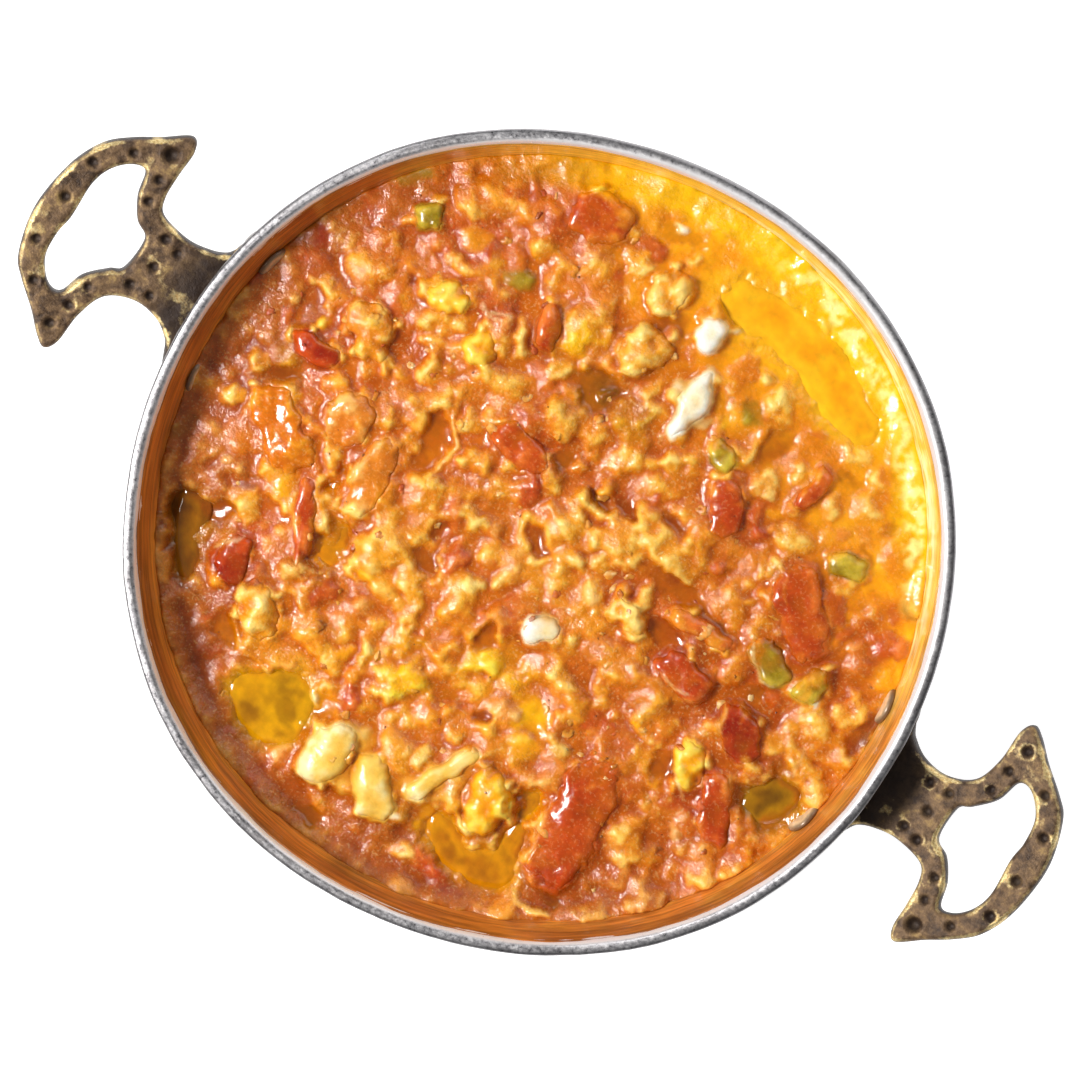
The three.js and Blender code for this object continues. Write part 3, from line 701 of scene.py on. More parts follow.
# ---------------------------------------------------------------- handles and rivets
def closed_curve(points: Sequence[tuple[float, float]], count: int) -> Array:
    """A smooth closed curve through the points.

    Args:
        points: Its corners, in order.
        count: How many points to give back.

    Returns:
        Points, (count, 2).
    """
    p = np.array(points, float)
    n = len(p)
    at = np.arange(count) * n / count
    i = at.astype(int)
    t = (at - i)[:, None]
    a, b, c, d = (p[(i + k) % n] for k in (-1, 0, 1, 2))
    return 0.5 * (2 * b + (c - a) * t + (2 * a - 5 * b + 4 * c - d) * t ** 2
                  + (3 * b - a - 3 * c + d) * t ** 3)


def edge_distance(points: Array, loops: Iterable[Array]) -> Array:
    """Distance of each point from the nearest edge of the closed loops."""
    nearest = np.full(len(points), 1e9)
    for loop in loops:
        for a, b in zip(loop, np.roll(loop, -1, axis=0)):
            along = b - a
            share = np.clip((points - a) @ along / max(along @ along, 1e-12), 0, 1)
            nearest = np.minimum(nearest, np.hypot(*(points - a - share[:, None] * along).T))
    return nearest


def inside(points: Array, loop: Array) -> Array:
    """Whether each point lies inside a closed loop."""
    odd = np.zeros(len(points), bool)
    for a, b in zip(loop, np.roll(loop, -1, axis=0)):
        crosses = (a[1] > points[:, 1]) != (b[1] > points[:, 1])
        if a[1] != b[1]:
            odd ^= crosses & (points[:, 0] < (b[0] - a[0]) * (points[:, 1] - a[1]) / (b[1] - a[1]) + a[0])
    return odd


def sense(loop: Array) -> float:
    """1 for a closed loop that runs anticlockwise and -1 for one that runs clockwise."""
    u, v = loop.T
    return np.sign(np.sum(u * np.roll(v, -1) - v * np.roll(u, -1)))


def anticlockwise(flat: Array, triangles: Array) -> Array:
    """Turns triangles of plan points so that all of them face up."""
    a, b, c = (flat[triangles[:, k]] for k in range(3))
    area = (b[:, 0] - a[:, 0]) * (c[:, 1] - a[:, 1]) - (b[:, 1] - a[:, 1]) * (c[:, 0] - a[:, 0])
    return np.where((area > 0)[:, None], triangles, triangles[:, ::-1])


@dataclass
class Handle:
    """One cast brass handle: a pitted plate with a finger hole, climbing from a foot on the wall."""
    shape: PanShape
    name: str
    turn: float
    twist: float
    root_radius: float = 88.4
    root_height: float = 27.7
    tilt: float = math.radians(14)
    thickness: float = 5
    rounding: float = 1.25
    foot_half_length: float = 20.5
    foot_half_height: float = 6.5
    foot_height: float = 27.8
    foot_thickness: float = 3.2
    grid: float = 0.6
    outline: tuple[tuple[float, float], ...] = (
        (-1, -17), (3.5, -12), (8, -10), (13, -9.4), (19.5, -10.7), (21.6, -14), (22.2, -20), (22.4, -26),
        (24.6, -28.4), (30, -24.2), (35, -20.5), (39.4, -16), (42.3, -9), (43.4, 0), (42.8, 7), (40, 15),
        (36.8, 18.5), (31, 23), (26.6, 27), (23.8, 28.4), (22, 25.5), (21.8, 18), (19.7, 11.5), (14, 8.4),
        (8, 8.8), (3.5, 11.5), (-1, 16))
    hole: tuple[tuple[float, float], ...] = (
        (28.7, -16.3), (26.9, -11), (23.7, -6.5), (20, -4), (19.9, 3.6), (22.5, 6), (26.3, 10.5), (28, 16),
        (31.3, 16), (35, 11.8), (36, 6), (35.6, 1), (36.2, -7), (35, -12), (32, -15.6))
    pits: tuple[tuple[float, float, float], ...] = (
        (16.5, -6.8, 1.5), (12.5, -5.8, 1.4), (15, -0.3, 1.5), (16.8, 5.6, 1.4), (12, 5.3, 1.4),
        (24.3, -11.4, 1.4), (25.2, -16.6, 1.4), (26.2, -22.6, 2.2), (33, -18.2, 1.4), (38.9, -11.4, 1.5),
        (39.4, -1.8, 1.6), (39.1, 9.4, 1.5), (34.3, 17.2, 1.5), (24, 11.6, 1.3), (24.9, 17.2, 1.4),
        (26, 23, 1.6))

    def plate(self) -> tuple[Array, list[tuple[int, ...]], Array]:
        """The plate, lying flat with its top face at height 0 and its root at the origin.

        Returns:
            Vertices, faces and traits.
        """
        loops = [closed_curve(self.outline, 300), closed_curve(self.hole, 170)]
        low, high = loops[0].min(0), loops[0].max(0)
        across = np.arange(low[0], high[0], self.grid)
        along = np.arange(low[1], high[1], self.grid * 0.87)
        gx, gy = np.meshgrid(across, along)
        gx = gx + (np.arange(len(along)) % 2)[:, None] * self.grid / 2
        field_points = np.stack([gx.ravel(), gy.ravel()], -1)
        bands = []
        for loop, way in zip(loops, (1, -1)):
            ahead = np.roll(loop, -1, axis=0) - np.roll(loop, 1, axis=0)
            normal = np.stack([-ahead[:, 1], ahead[:, 0]], -1) / np.hypot(*ahead.T)[:, None]
            turning = sense(loop)
            for step in (0.1, 0.32, 0.7):
                band = loop + normal * (step * way * turning)
                keep = edge_distance(band, loops) > 0.93 * step
                bands.append(band[keep])
        ok = inside(field_points, loops[0]) & ~inside(field_points, loops[1])
        field_points = field_points[ok]
        field_points = field_points[edge_distance(field_points, loops) > 1.0]
        flat = np.concatenate([*loops, *bands, field_points])
        edges, start = [], 0
        for loop in loops:
            n = len(loop)
            edges += [(start + i, start + (i + 1) % n) for i in range(n)]
            start += n
        points, _, triangles, *_ = delaunay_2d_cdt([Vector(p) for p in flat], edges, [], 0, 1e-5)
        flat = np.array([tuple(p) for p in points])
        triangles = np.array(triangles)
        middle = flat[triangles].mean(1)
        triangles = triangles[inside(middle, loops[0]) & ~inside(middle, loops[1])]
        away = edge_distance(flat, loops)
        rim = away < 1e-4
        share = np.clip(away / self.rounding, 0, 1)
        shoulder = np.clip(1 - (1 - share) ** 2.6, 0, 1) ** (1 / 2.6)
        place = np.stack([flat[:, 0], flat[:, 1], np.zeros(len(flat))], -1) + (self.turn * 20)
        uneven = 0.16 * cloud(place, 7, 41, 3) + 0.05 * cloud(place, 1.6, 42, 2)
        half = self.thickness / 2
        top = -half + half * shoulder + uneven * share
        bottom = -half - half * shoulder + 0.5 * uneven * share
        rubbed = cloud(place, 9, 44, 3)
        # The edges are lightened all round: partly rubbed brass, partly painted highlight.
        wear_and_edge_highlight = np.exp(-((away - 0.55) / 0.32) ** 2) * (0.5 + 0.5 * rubbed) + 0.28 * smooth(0.1, 0.7, rubbed)
        # Painted shade on the plate's rounded side edges.
        dark = smooth(0.4, 0.1, away)
        for u, v, radius in self.pits:
            off = np.hypot(flat[:, 0] - u, flat[:, 1] - v) / (0.92 * radius)
            top -= 0.75 * radius * np.clip(1 - off ** 2, 0, 1)
            top += 0.12 * np.exp(-((off - 1.2) / 0.25) ** 2)
            rim_wear = np.exp(-((off - 1.18) / 0.16) ** 2)
            rim_wear = rim_wear * smooth(-0.3, 0.5, rubbed + 0.3 * np.sin(u + 3 * v))
            wear_and_edge_highlight = wear_and_edge_highlight * smooth(0.7, 1.0, off) + 0.3 * rim_wear
            # The pits are darkened inside.
            dark = np.maximum(dark, 0.9 * smooth(1.0, 0.6, off))
        # Painted shade: the neck next to the pan is darkened, where it turns down under the rim.
        shade_and_dark_pits = np.maximum(smooth(15, 7, flat[:, 0] + 0.03 * flat[:, 1] ** 2) * 0.85, dark)
        n = len(flat)
        under = np.where(rim, np.arange(n), np.arange(n) + n)
        places = np.concatenate([np.column_stack([flat, top]), np.column_stack([flat, bottom])])
        triangles = anticlockwise(flat, triangles)
        faces = [tuple(t) for t in triangles] + [tuple(under[t[::-1]]) for t in triangles]
        traits = np.column_stack([np.tile(np.clip(wear_and_edge_highlight, 0, 1), 2), np.tile(shade_and_dark_pits, 2), np.ones(2 * n)])
        traits[n:, 0] *= 0.5
        used = np.unique(np.array(faces))
        remap = np.full(2 * n, -1)
        remap[used] = np.arange(len(used))
        return places[used], [tuple(remap[list(f)]) for f in faces], traits[used]

    def foot(self) -> tuple[Array, list[tuple[int, ...]], Array]:
        """The pad bent round the wall, in the part's frame before the handle's turn.

        Returns:
            Vertices, faces and traits.
        """
        count, steps = 72, 9
        straight = self.foot_half_length - self.foot_half_height
        turns = np.linspace(0, 2 * math.pi, count, endpoint=False)
        side = np.where(np.cos(turns) > 0, straight, -straight)
        rim = np.stack([side + self.foot_half_height * np.cos(turns),
                        self.foot_half_height * np.sin(turns)], -1)
        rings, places = [], []

        def ring(share: float, lift: float) -> None:
            """Adds a ring of the pad: its share of the pad's size and its height off the wall."""
            across = rim * share
            z = self.foot_height + across[:, 1]
            radius = self.shape.outer(z) + 0.3
            angle = np.arcsin(np.clip(across[:, 0] / radius, -1, 1))
            radius = radius + self.shape.swell(radius, angle + self.turn, z) + lift
            rings.append(list(range(len(places), len(places) + count)))
            places.extend(zip(radius * np.cos(angle), radius * np.sin(angle), z))

        for share in (0.3, 0.65, 0.95):
            ring(share, 0)
        for t in np.linspace(0, math.pi / 2, steps):
            ring(1 - 0.06 * (1 - math.cos(t)), self.foot_thickness * (0.25 + 0.75 * math.sin(t)))
        for share in (0.65, 0.3):
            ring(share, self.foot_thickness)
        centre = np.array(places)
        for end, first in ((rings[0], True), (rings[-1], False)):
            places.append(tuple(centre[end].mean(0)))
            tip = [len(places) - 1]
            if first:
                rings.insert(0, tip)
            else:
                rings.append(tip)
        # The foot on the wall takes 0.6 of the painted shade.
        traits = np.tile([0.18, 0.6, 1.0], (len(places), 1))
        return np.array(places), loft(rings), traits

    def build(self) -> None:
        """Builds the handle in place of the plain one."""
        plate, plate_faces, plate_traits = self.plate()
        lay = (Matrix.Rotation(self.turn, 3, "Z") @ Matrix.Rotation(-self.tilt, 3, "Y")
               @ Matrix.Rotation(self.twist, 3, "Z"))
        spin = Matrix.Rotation(self.turn, 3, "Z")
        plate = plate @ np.array(lay).T + np.array(spin @ Vector((self.root_radius, 0, self.root_height)))
        radius = np.hypot(plate[:, 0], plate[:, 1])
        angle = np.arctan2(plate[:, 1], plate[:, 0])
        least = self.shape.outer(plate[:, 2]) + self.shape.swell(radius, angle, plate[:, 2]) + 0.3
        push = np.maximum(least / radius, 1)[:, None]
        plate[:, :2] *= push
        foot, foot_faces, foot_traits = self.foot()
        foot = foot @ np.array(spin).T
        places = np.concatenate([plate, foot])
        faces = plate_faces + [tuple(i + len(plate) for i in f) for f in foot_faces]
        piece = make_piece(f"handle_{self.name}_cast", places, faces, CastBrass().build(),
                           traits=np.concatenate([plate_traits, foot_traits]))
        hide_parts(f"handle_{self.name}")


@dataclass
class Rivet:
    """A rivet through the wall: a flat pale head inside, a small domed one outside."""
    shape: PanShape
    name: str
    angle: float
    height: float = 27.8
    head: float = 4.5
    shank: float = 2.2
    outer_head: float = 3.4
    foot: float = 5.95

    def build(self, material: bpy.types.Material) -> None:
        """Builds the rivet in place of the plain one.

        Args:
            material: Its finish.
        """
        profile = [(0, -1.5), (2.4, -1.5), (self.head - 0.9, -1.46), (self.head - 0.4, -1.3),
                   (self.head - 0.1, -1.0), (self.head, -0.6), (self.head - 0.05, -0.32),
                   (self.shank, -0.3), (self.shank, self.foot), (self.outer_head, self.foot),
                   (self.outer_head - 0.1, self.foot + 0.45), (self.outer_head - 0.6, self.foot + 0.9),
                   (self.outer_head * 0.5, self.foot + 1.15), (0, self.foot + 1.25)]
        sides = 40
        turns = np.linspace(0, 2 * math.pi, sides, endpoint=False)
        places: list[tuple[float, float, float]] = []
        rings = []
        for radius, along in profile:
            here = [0.0] if radius == 0 else turns
            rings.append(list(range(len(places), len(places) + len(here))))
            places += [(radius * math.cos(t), radius * math.sin(t), along) for t in here]
        local = np.array(places)
        local[:, 2] += 0.1 * cloud(local + self.angle * 50, 3, 61, 2) * (local[:, 2] < -0.5)
        wall = self.shape.inner(self.height)
        wall += float(self.shape.swell(wall, self.angle, self.height))
        lay = Matrix.Rotation(self.angle, 3, "Z") @ Matrix.Rotation(math.pi / 2 + self.shape.flare, 3, "Y")
        at = np.array(Matrix.Rotation(self.angle, 3, "Z") @ Vector((wall, 0, self.height)))
        stained = np.array(linear("F2D2A6"))
        bare = np.array(linear("9C9894"))
        head_edge_shade = np.array(linear("5A3414"))
        outside = local[:, 2] > 0
        tint = np.where(outside[:, None], bare, stained)
        # Painted shade: a dark ring round the edge of the inner head, where the head's rim throws its
        # shadow line.
        edge = smooth(self.head - 1.0, self.head, np.hypot(local[:, 0], local[:, 1])) * ~outside
        tint = blend(tint, head_edge_shade, edge * 0.85)
        placed = local @ np.array(lay).T + at
        piece = make_piece(f"rivet_{self.name}_set", placed, loft(rings), material, tint)
        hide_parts(f"rivet_{self.name}")


# ---------------------------------------------------------------- what the food is made of
class Kind(Enum):
    """What shows at a place in the food."""
    CURD = "curd"
    CREAM = "cream"
    FOLD = "fold"
    WHITE = "white"
    YOLK = "yolk"
    ORANGE = "orange"
    TOMATO = "tomato"
    SKIN = "skin"
    PINK = "pink"
    MAUVE = "mauve"
    PEPPER = "pepper"
    BROWN = "brown"
    AMBER = "amber"
    OLIVE = "olive"
    GOLD = "gold"


@dataclass(frozen=True)
class Flesh:
    """Colours of one kind of food, and its feel.

    shadow, body and light are sRGB hex; bumps is the height of its 2 mm curds in millimetres, liquid
    is 1 for standing oil, and rough scales the fine grain.
    """
    shadow: str
    body: str
    light: str
    bumps: float = 0.5
    liquid: float = 0.0
    rough: float = 1.0

    def shades(self) -> tuple[Array, Array, Array]:
        """The three colours, linear."""
        return tuple(np.array(linear(c)) for c in (self.shadow, self.body, self.light))

    def colour(self, tone: Array) -> Array:
        """Colour at a tone from -1, shadow, to 1, light."""
        shadow, body, light = self.shades()
        base = np.broadcast_to(body, tone.shape + (3,))
        return blend(blend(base, shadow, smooth(0, -1, tone)), light, smooth(0, 1, tone))


FLESH: dict[Kind, Flesh] = {
    Kind.CURD: Flesh("AE5416", "E4902E", "FDC060", 0.75),
    Kind.CREAM: Flesh("C47420", "F4A83E", "FFD68C", 0.85),
    Kind.FOLD: Flesh("F0A828", "F8D080", "FFEEC4", 0.12, rough=0.4),
    Kind.WHITE: Flesh("F2D8A4", "FFF4DC", "FFFDF6", 0.2, rough=0.4),
    Kind.YOLK: Flesh("E08A10", "FDB420", "FFDC74", 0.3, rough=0.6),
    Kind.ORANGE: Flesh("A84810", "D87A1C", "F6A638", 0.5, rough=0.7),
    Kind.TOMATO: Flesh("7E2810", "B84624", "E47C4A", 0.3, rough=0.6),
    Kind.SKIN: Flesh("5C120A", "922414", "C8522E", 0.15, rough=0.5),
    Kind.PINK: Flesh("AC5426", "DE8848", "FCC48C", 0.5),
    Kind.MAUVE: Flesh("803C18", "B86A34", "E4A062", 0.6),
    Kind.PEPPER: Flesh("5A4E0C", "8C7A1C", "CCB65A", 0.12, rough=0.5),
    Kind.BROWN: Flesh("38160A", "5E2A0E", "8E521C", 0.1, rough=0.6),
    Kind.AMBER: Flesh("8C5208", "BE7C0A", "E4A418", 0.0, liquid=0.85, rough=0.2),
    Kind.OLIVE: Flesh("6A5608", "A07C08", "D0A010", 0.0, liquid=0.9, rough=0.2),
    Kind.GOLD: Flesh("F0A40C", "FFC81A", "FFF05A", 0.15, liquid=0.6, rough=0.3),
}


@dataclass(frozen=True)
class Dab:
    """One lump, pit or patch that shows in the food's surface, in millimetres on the plan."""
    kind: Kind
    x: float
    y: float
    length: float
    width: float
    turn: float = 0.0
    rise: float = 1.4
    square: float = 2.2

    def reach(self, x: Array, y: Array, wander: Array) -> Array:
        """0 at the middle of the lump, 1 on its edge; wander makes the edge uneven."""
        turn = math.radians(self.turn)
        dx, dy = x - self.x, y - self.y
        u = (dx * math.cos(turn) + dy * math.sin(turn)) / (self.length / 2)
        v = (dy * math.cos(turn) - dx * math.sin(turn)) / (self.width / 2)
        p = self.square
        return (np.abs(u) ** p + np.abs(v) ** p) ** (1 / p) * (1 + wander)


@dataclass(frozen=True)
class Ridge:
    """A thin raised edge, such as a tomato's curled skin, along a line on the plan."""
    kind: Kind
    width: float
    rise: float
    line: tuple[tuple[float, float], ...]

    def away(self, x: Array, y: Array) -> Array:
        """Distance from the line, in half widths, thinning towards its ends."""
        points = np.array(self.line, float)
        nearest = np.full(x.shape, 1e9)
        last = len(points) - 2
        for i, (a, b) in enumerate(zip(points, points[1:])):
            along = b - a
            share = np.clip(((x - a[0]) * along[0] + (y - a[1]) * along[1]) / (along @ along), 0, 1)
            run = (i + share) / (last + 1)
            half = self.width / 2 * (0.35 + 0.65 * np.sin(np.clip(run, 0.02, 0.98) * math.pi) ** 0.5)
            away = np.hypot(x - a[0] - share * along[0], y - a[1] - share * along[1])
            nearest = np.minimum(nearest, away / half)
        return nearest


def dabs(kind: Kind, *rows: tuple[float, ...]) -> list[Dab]:
    """Makes dabs of one kind from rows of x, y, length, width, turn, rise and squareness."""
    return [Dab(kind, *row) for row in rows]


# The lumps, patches and pits that show in the food, each where it lies in the dish.
PLACED: list[Dab] = [
    *dabs(Kind.GOLD,
          (34, 66, 40, 10, -30, 0), (20, -33, 10, 8, 0, 0), (-18, -58, 7, 6, 30, 0),
          (-24, -64, 9, 4, -55, 0), (15, -65.5, 7, 4, -40, 0), (70, 44, 22, 6, -62, 0)),
    *dabs(Kind.ORANGE,
          (8, 66, 18, 10, 0, 0.2), (40, 61, 18, 9, -28, 0.2), (14.5, 56, 10, 7, -80, 1.0),
          (54.5, 53, 7, 4, -50, 1), (-20, 75, 12, 6, 10, 0.8), (-38, 66, 11, 10, 60, 1.6),
          (-50, 51, 17, 9, 10, 0.8), (-44, 53, 9, 9, 0, 0.6), (2, -46, 9, 6, 0, 1.6),
          (5, -23, 6, 5, 0, 1.4), (14, -22, 6, 5, 0, 1), (63, 8, 6, 5, 80, 1.8), (43, -6, 12, 4, -8, 3.3),
          (-58, -9, 10, 5, -30, 2), (-53, -8, 6, 4, 0, 2), (-3, -33, 5, 4, 0, 1.2),
          (-30, 24, 14, 5, 5, 0.8), (2, 31, 6, 6, 0, 1), (65, 43, 9, 8, 40, 1.4),
          (-61, 52, 8, 4, 40, 0.6)),
    *dabs(Kind.CURD,
          (38, -15, 17, 9, -28, 1.6, 3), (54, -34, 7, 6, 0, 1), (30, 17, 9, 7, -20, 1.4),
          (18, 27, 9, 7, 0, 1.1), (-14, 6, 8, 6, 30, 1), (32, -7, 8, 5, 80, 1.3), (-31, -9, 7, 7, 0, 1.2),
          (-24, 21, 20, 6, -5, 0.9), (6, -12, 7, 6, 0, 1.2), (48, 43, 7, 5, 70, 1.3),
          (-4, 26, 6, 6, 0, 1.6), (-9, 28, 4, 4, 0, 1.2), (17, 35, 6, 4, 30, 1.2),
          (-34, 12, 6, 8, 70, 0.8), (-30, 57, 8, 6, 0, 1), (60, -45, 8, 6, -50, 0.9),
          (52, -43, 6, 5, 0, 1), (66, -43, 5, 5, 0, 0.8), (62, 45, 8, 6, 40, 1.3), (41, -37, 4, 3, 0, 0)),
    *dabs(Kind.CREAM,
          (26, 55, 8, 8, 60, 1.8), (20, 57.5, 5, 5, 0, 1.4), (46, 55, 8, 5, 10, 1.4),
          (52.5, 52, 5, 4.5, 0, 1.6), (54, 47, 8, 6, -10, 1.7), (38, 45.5, 4, 6, 0, 1.6),
          (47, 44, 3.5, 7, 0, 1.2), (33, 38.5, 7, 7, 0, 1.7), (44.5, 32, 10, 6, 18, 1.9),
          (12.5, 31, 3, 4.5, 0, 1.5), (10, 28.5, 4, 4, 0, 1.2), (4, 38, 5, 5, 0, 1.2),
          (2, 43, 5, 6, 0, 1.5), (26, 43, 3, 6, 10, 1.3), (16, 9, 6, 5.5, -10, 2.0),
          (3, 7, 8.5, 8, 0, 2.2), (10, 8, 6, 5, 0, 1.8), (13.5, 4, 6, 4, 0, 1.6),
          (9.5, 1, 5, 4.5, 0, 1.8), (26, 3, 5, 6, 10, 1.9), (46, 15, 5, 3, 20, 1.2), (36, 9, 4, 3, 0, 1),
          (25.5, 13, 6, 4, 0, 1.8), (22, -22, 10, 6, -12, 1.7), (-28, -15, 5, 12, 10, 1.6),
          (-27, -20, 11, 9, -20, 2.1), (-31, -26, 6, 8, 20, 1.7), (-22, -12, 6, 10, 15, 1.8),
          (-20, -23, 8, 5, -40, 1.9), (-15, -27, 8, 5, -50, 1.6), (-8, -17, 8, 6.5, 10, 2.0),
          (-6, -8, 9, 6, 0, 1.5), (-2, -12, 5, 5, 0, 1.5), (-15, -4, 9, 5, -10, 1.8),
          (-12, -35, 5, 8, 10, 1.7), (-17, -43, 4, 8, 10, 1.4), (-37, -41, 5, 3, 0, 1.5),
          (-35, -47, 8, 5, 10, 1.4), (-42, -53, 11, 7, -35, 1.5), (-23, -48, 6, 6, 0, 1.2),
          (-51, -23, 10, 4, -55, 1.8), (-56, -21, 7, 7, 0, 1.8), (-64, -6, 8, 5, 20, 2.0),
          (-73, -3, 5, 5.5, 0, 1.5), (-73, -12, 5, 4, 0, 1.3), (-58, -31, 9, 8, 60, 1.3),
          (-48, -9.5, 6, 4, 20, 1.8), (-36.5, -17, 5, 5.5, 30, 3.4), (-27, 13, 6, 6, 0, 1.9),
          (-18, 33, 7, 7, 20, 1.9), (-28.5, 34, 4, 10, 25, 1.8), (-17, 62, 9, 5.5, -25, 1.8),
          (-46, 27, 10, 7, 10, 1.6), (-46, 40, 12, 4, 10, 1.2), (-54.5, 53.5, 6, 4.5, 20, 1.6),
          (-70, 19, 10, 3, -3, 1.5), (-49, 13.5, 7, 2.6, -20, 1.7), (-39, 8, 3, 5, 0, 1.2),
          (-41, 15, 5, 2.4, -25, 1.3), (-4, 12, 5, 3, 0, 1.2), (-42, 45, 5, 4, 0, 1.5),
          (9, -47, 3.5, 5, 0, 1.3), (6, -55, 4.5, 7, 20, 1.8), (-2, 53, 6, 4, 0, 1.3),
          (13, -75, 8, 4.5, 10, 1.0), (19, -43.5, 4, 4, 0, 1.2), (22, -5, 4, 4, 0, 1.3),
          (-26, 54, 4, 5, 0, 1), (-7, 70, 3, 3, 0, 1), (28, 49, 3, 4, 0, 1), (7, 13, 6, 3, 0, 1.2),
          (60, 29.5, 6, 3, 0, 1.2)),
    *dabs(Kind.PINK,
          (57, 41, 7, 5, -20, 1.2), (41, 38.5, 3.5, 5, 0, 1.2), (2.5, 33, 4, 3.5, 0, 1.2),
          (72, 18, 7, 9, 10, 1.5), (24, -12, 7, 9, -20, 1.6), (16, -3.5, 8, 5, -10, 1.7),
          (27, -28, 5, 5, 0, 1), (14.5, -36, 8, 5.5, 0, 1.5), (-8, -23, 5, 5, 0, 1.3),
          (-25, -35, 9, 5.5, 25, 1.6), (-46, -34, 9, 9, 60, 1.3), (-22, 55, 6, 5, 0, 1.1),
          (-43, 7, 6, 7, 0, 1.1), (-15, 22.5, 4.5, 7, 0, 1.4), (68, -36, 6, 4, -20, 1.3),
          (57, -52, 5, 9, 15, 1.1), (62, -51, 5, 5, 0, 1.0), (13, 42, 4, 6, 0, 1.2),
          (-9, -4, 3, 5, 0, 1.5), (-36.5, -11, 6, 5, 20, 2.9), (-47, 3, 5, 5, 0, 1),
          (20, 15, 4, 3, 0, 0.8), (-57, 27, 9, 5, 80, 1), (75.5, -27, 5.5, 5.5, 0, 1.8),
          (-26, 44, 4, 6, 0, 1.2), (33, 24, 8, 5, -20, 1)),
    *dabs(Kind.MAUVE,
          (69, -15, 6, 8, 10, 1.6), (-79, 6, 8, 7, 0, 1.4), (-66, -32, 8, 8, 0, 1.2),
          (-64, -25, 6, 7, 0, 1.3), (-28, -45, 8, 10, 20, 1.0), (-28, -77, 14, 8, 10, 0.6),
          (-42, -74, 12, 7, -20, 0.6), (-16, -81, 12, 6, 0, 0.6), (8, -79, 14, 5, 0, 0.7),
          (-52, -62, 12, 8, -35, 0.6), (-77, -22, 6, 12, 10, 0.5), (-80, -3, 6, 14, 0, 0.5),
          (-72, 31, 8, 8, 0, 1.1), (-75, 13, 5, 6, 0, 1.3), (-50, 62, 14, 7, 38, 0.8),
          (-56, -56, 8, 8, 0, 0.5), (76, -8, 4.5, 11, 5, 1.4), (68, -52, 6, 6, 0, 0.5),
          (55, -60, 8, 4, 20, 0.5), (-37, -66, 5, 9, 0, 0.6), (-70, -22, 8, 7, 0, 0.6),
          (-30, 49, 5, 9, 20, 1)),
    *dabs(Kind.TOMATO,
          (55, 57, 12, 2.6, -52, 1.0), (75, 25.5, 9, 8.5, 20, 2.0, 2.8), (35.5, 18, 2.4, 5, 0, 1.3),
          (16, 22, 2.6, 6.5, 15, 1.2), (60.5, 25.5, 9, 6, -42, 2.2), (25, 18.5, 8, 3, -30, 1.0),
          (22, -74.5, 14, 5.5, -4, 1.0), (38, -27, 19, 7, -5, 1.3, 3), (57, -31, 8, 4, 0, 1),
          (1, -55.5, 7, 7, 0, 1.6), (-14, -52.5, 7, 5.5, -20, 1.5), (-33, -36, 7, 7.5, -40, 1.8),
          (-13, -14.5, 5, 10, -15, 1.8), (-17, 66.5, 9, 6, 10, 1.4), (-18, 57, 5, 4, 0, 1.2),
          (-44, 45, 5.5, 5.5, 0, 1.6), (-55.5, 26, 6, 9, 15, 1.5), (-73, 8, 4.5, 4.5, 0, 1.2),
          (-8.5, 8, 6.5, 9, 15, 1.9), (-4.5, 78.7, 7, 3, -18, 0.8), (13, 66, 1.6, 2.6, 0, 0.5),
          (25.5, 69, 1.8, 1.4, 0, 0.5), (-57, 66.5, 3, 1.6, 45, 0.6), (1, 35, 2.4, 2, 0, 1),
          (60, 1, 5, 4, 0, 1), (-69, 41, 12, 12, 30, 0.5), (-58, -13.5, 8, 4, -45, 2.6),
          (-50, -3, 7, 5, 0, 2.4), (66, 21, 4, 5, 0, 1.2), (38, 29.5, 4.5, 3, -20, 1.3),
          (-38, 57, 4, 7, 30, 1), (-8, -40, 10, 4, 0, 0.8), (12, -44, 6, 3, 0, 0.6),
          (53, 39, 3, 4, 0, 0.9), (72, 31, 4, 3, 0, 1), (-28, 27, 6, 4, 0, 0.7),
          (36, 54, 4, 2.4, -30, 0.6)),
    *dabs(Kind.SKIN,
          (43.5, -3.6, 13, 5, -4, 3.2), (62.5, -8, 11, 6, -35, 3.4), (68.5, -28.5, 11, 5, -62, 2.6),
          (-44, 61.5, 9, 4, -58, 1.6), (-34, 33, 5, 3.6, 10, 1.5), (-24, 39, 4, 12, 20, 1.7),
          (-64, 6, 12, 5, 8, 2.2), (-53.5, -43, 11, 7, -75, 2.4), (-38, 72.5, 9, 3.4, 25, 0.4),
          (-46, -62.5, 3.4, 3.4, 0, 0.7), (-12, 15, 9, 7, 0, 1.7), (-46, -22, 4, 14, 30, 2),
          (-83, 12, 5, 6, 0, 0.7), (-77, 27, 6, 5.5, 0, 0.6), (42.5, 45, 3, 9, -8, 1.9),
          (27.5, 34, 6, 5, 30, 1.6), (30.5, 27, 6, 8, 10, 1.6), (-71.6, -14.3, 1.6, 1.6, 0, 1.2),
          (-7, 18, 5, 4, 0, 1)),
    *dabs(Kind.YOLK,
          (23, -40, 8, 6, 10, 1.8), (7, -29, 6.5, 6, 0, 1.9), (-6, -41, 7, 6, 10, 2.0),
          (-35, 27, 10, 6.5, 20, 3.2), (-66, 12, 3.6, 4.6, 0, 1.9), (-49, 47, 7, 6.5, 0, 1.5),
          (-54, -22, 5.5, 5.5, 0, 2.0), (-36.5, 52.5, 4.6, 7, 0, 2.4), (-27, -28, 6, 3.6, 10, 1.9),
          (-2, 3, 3.4, 3.4, 0, 1.1), (-21, -45, 3.4, 3.4, 0, 1.2), (6.5, 1.5, 4, 4, 0, 1.0),
          (36, 71, 10, 7, -30, 0.7), (-15, 46, 5, 4, 0, 1), (-53, -19, 4, 4, 0, 1.6),
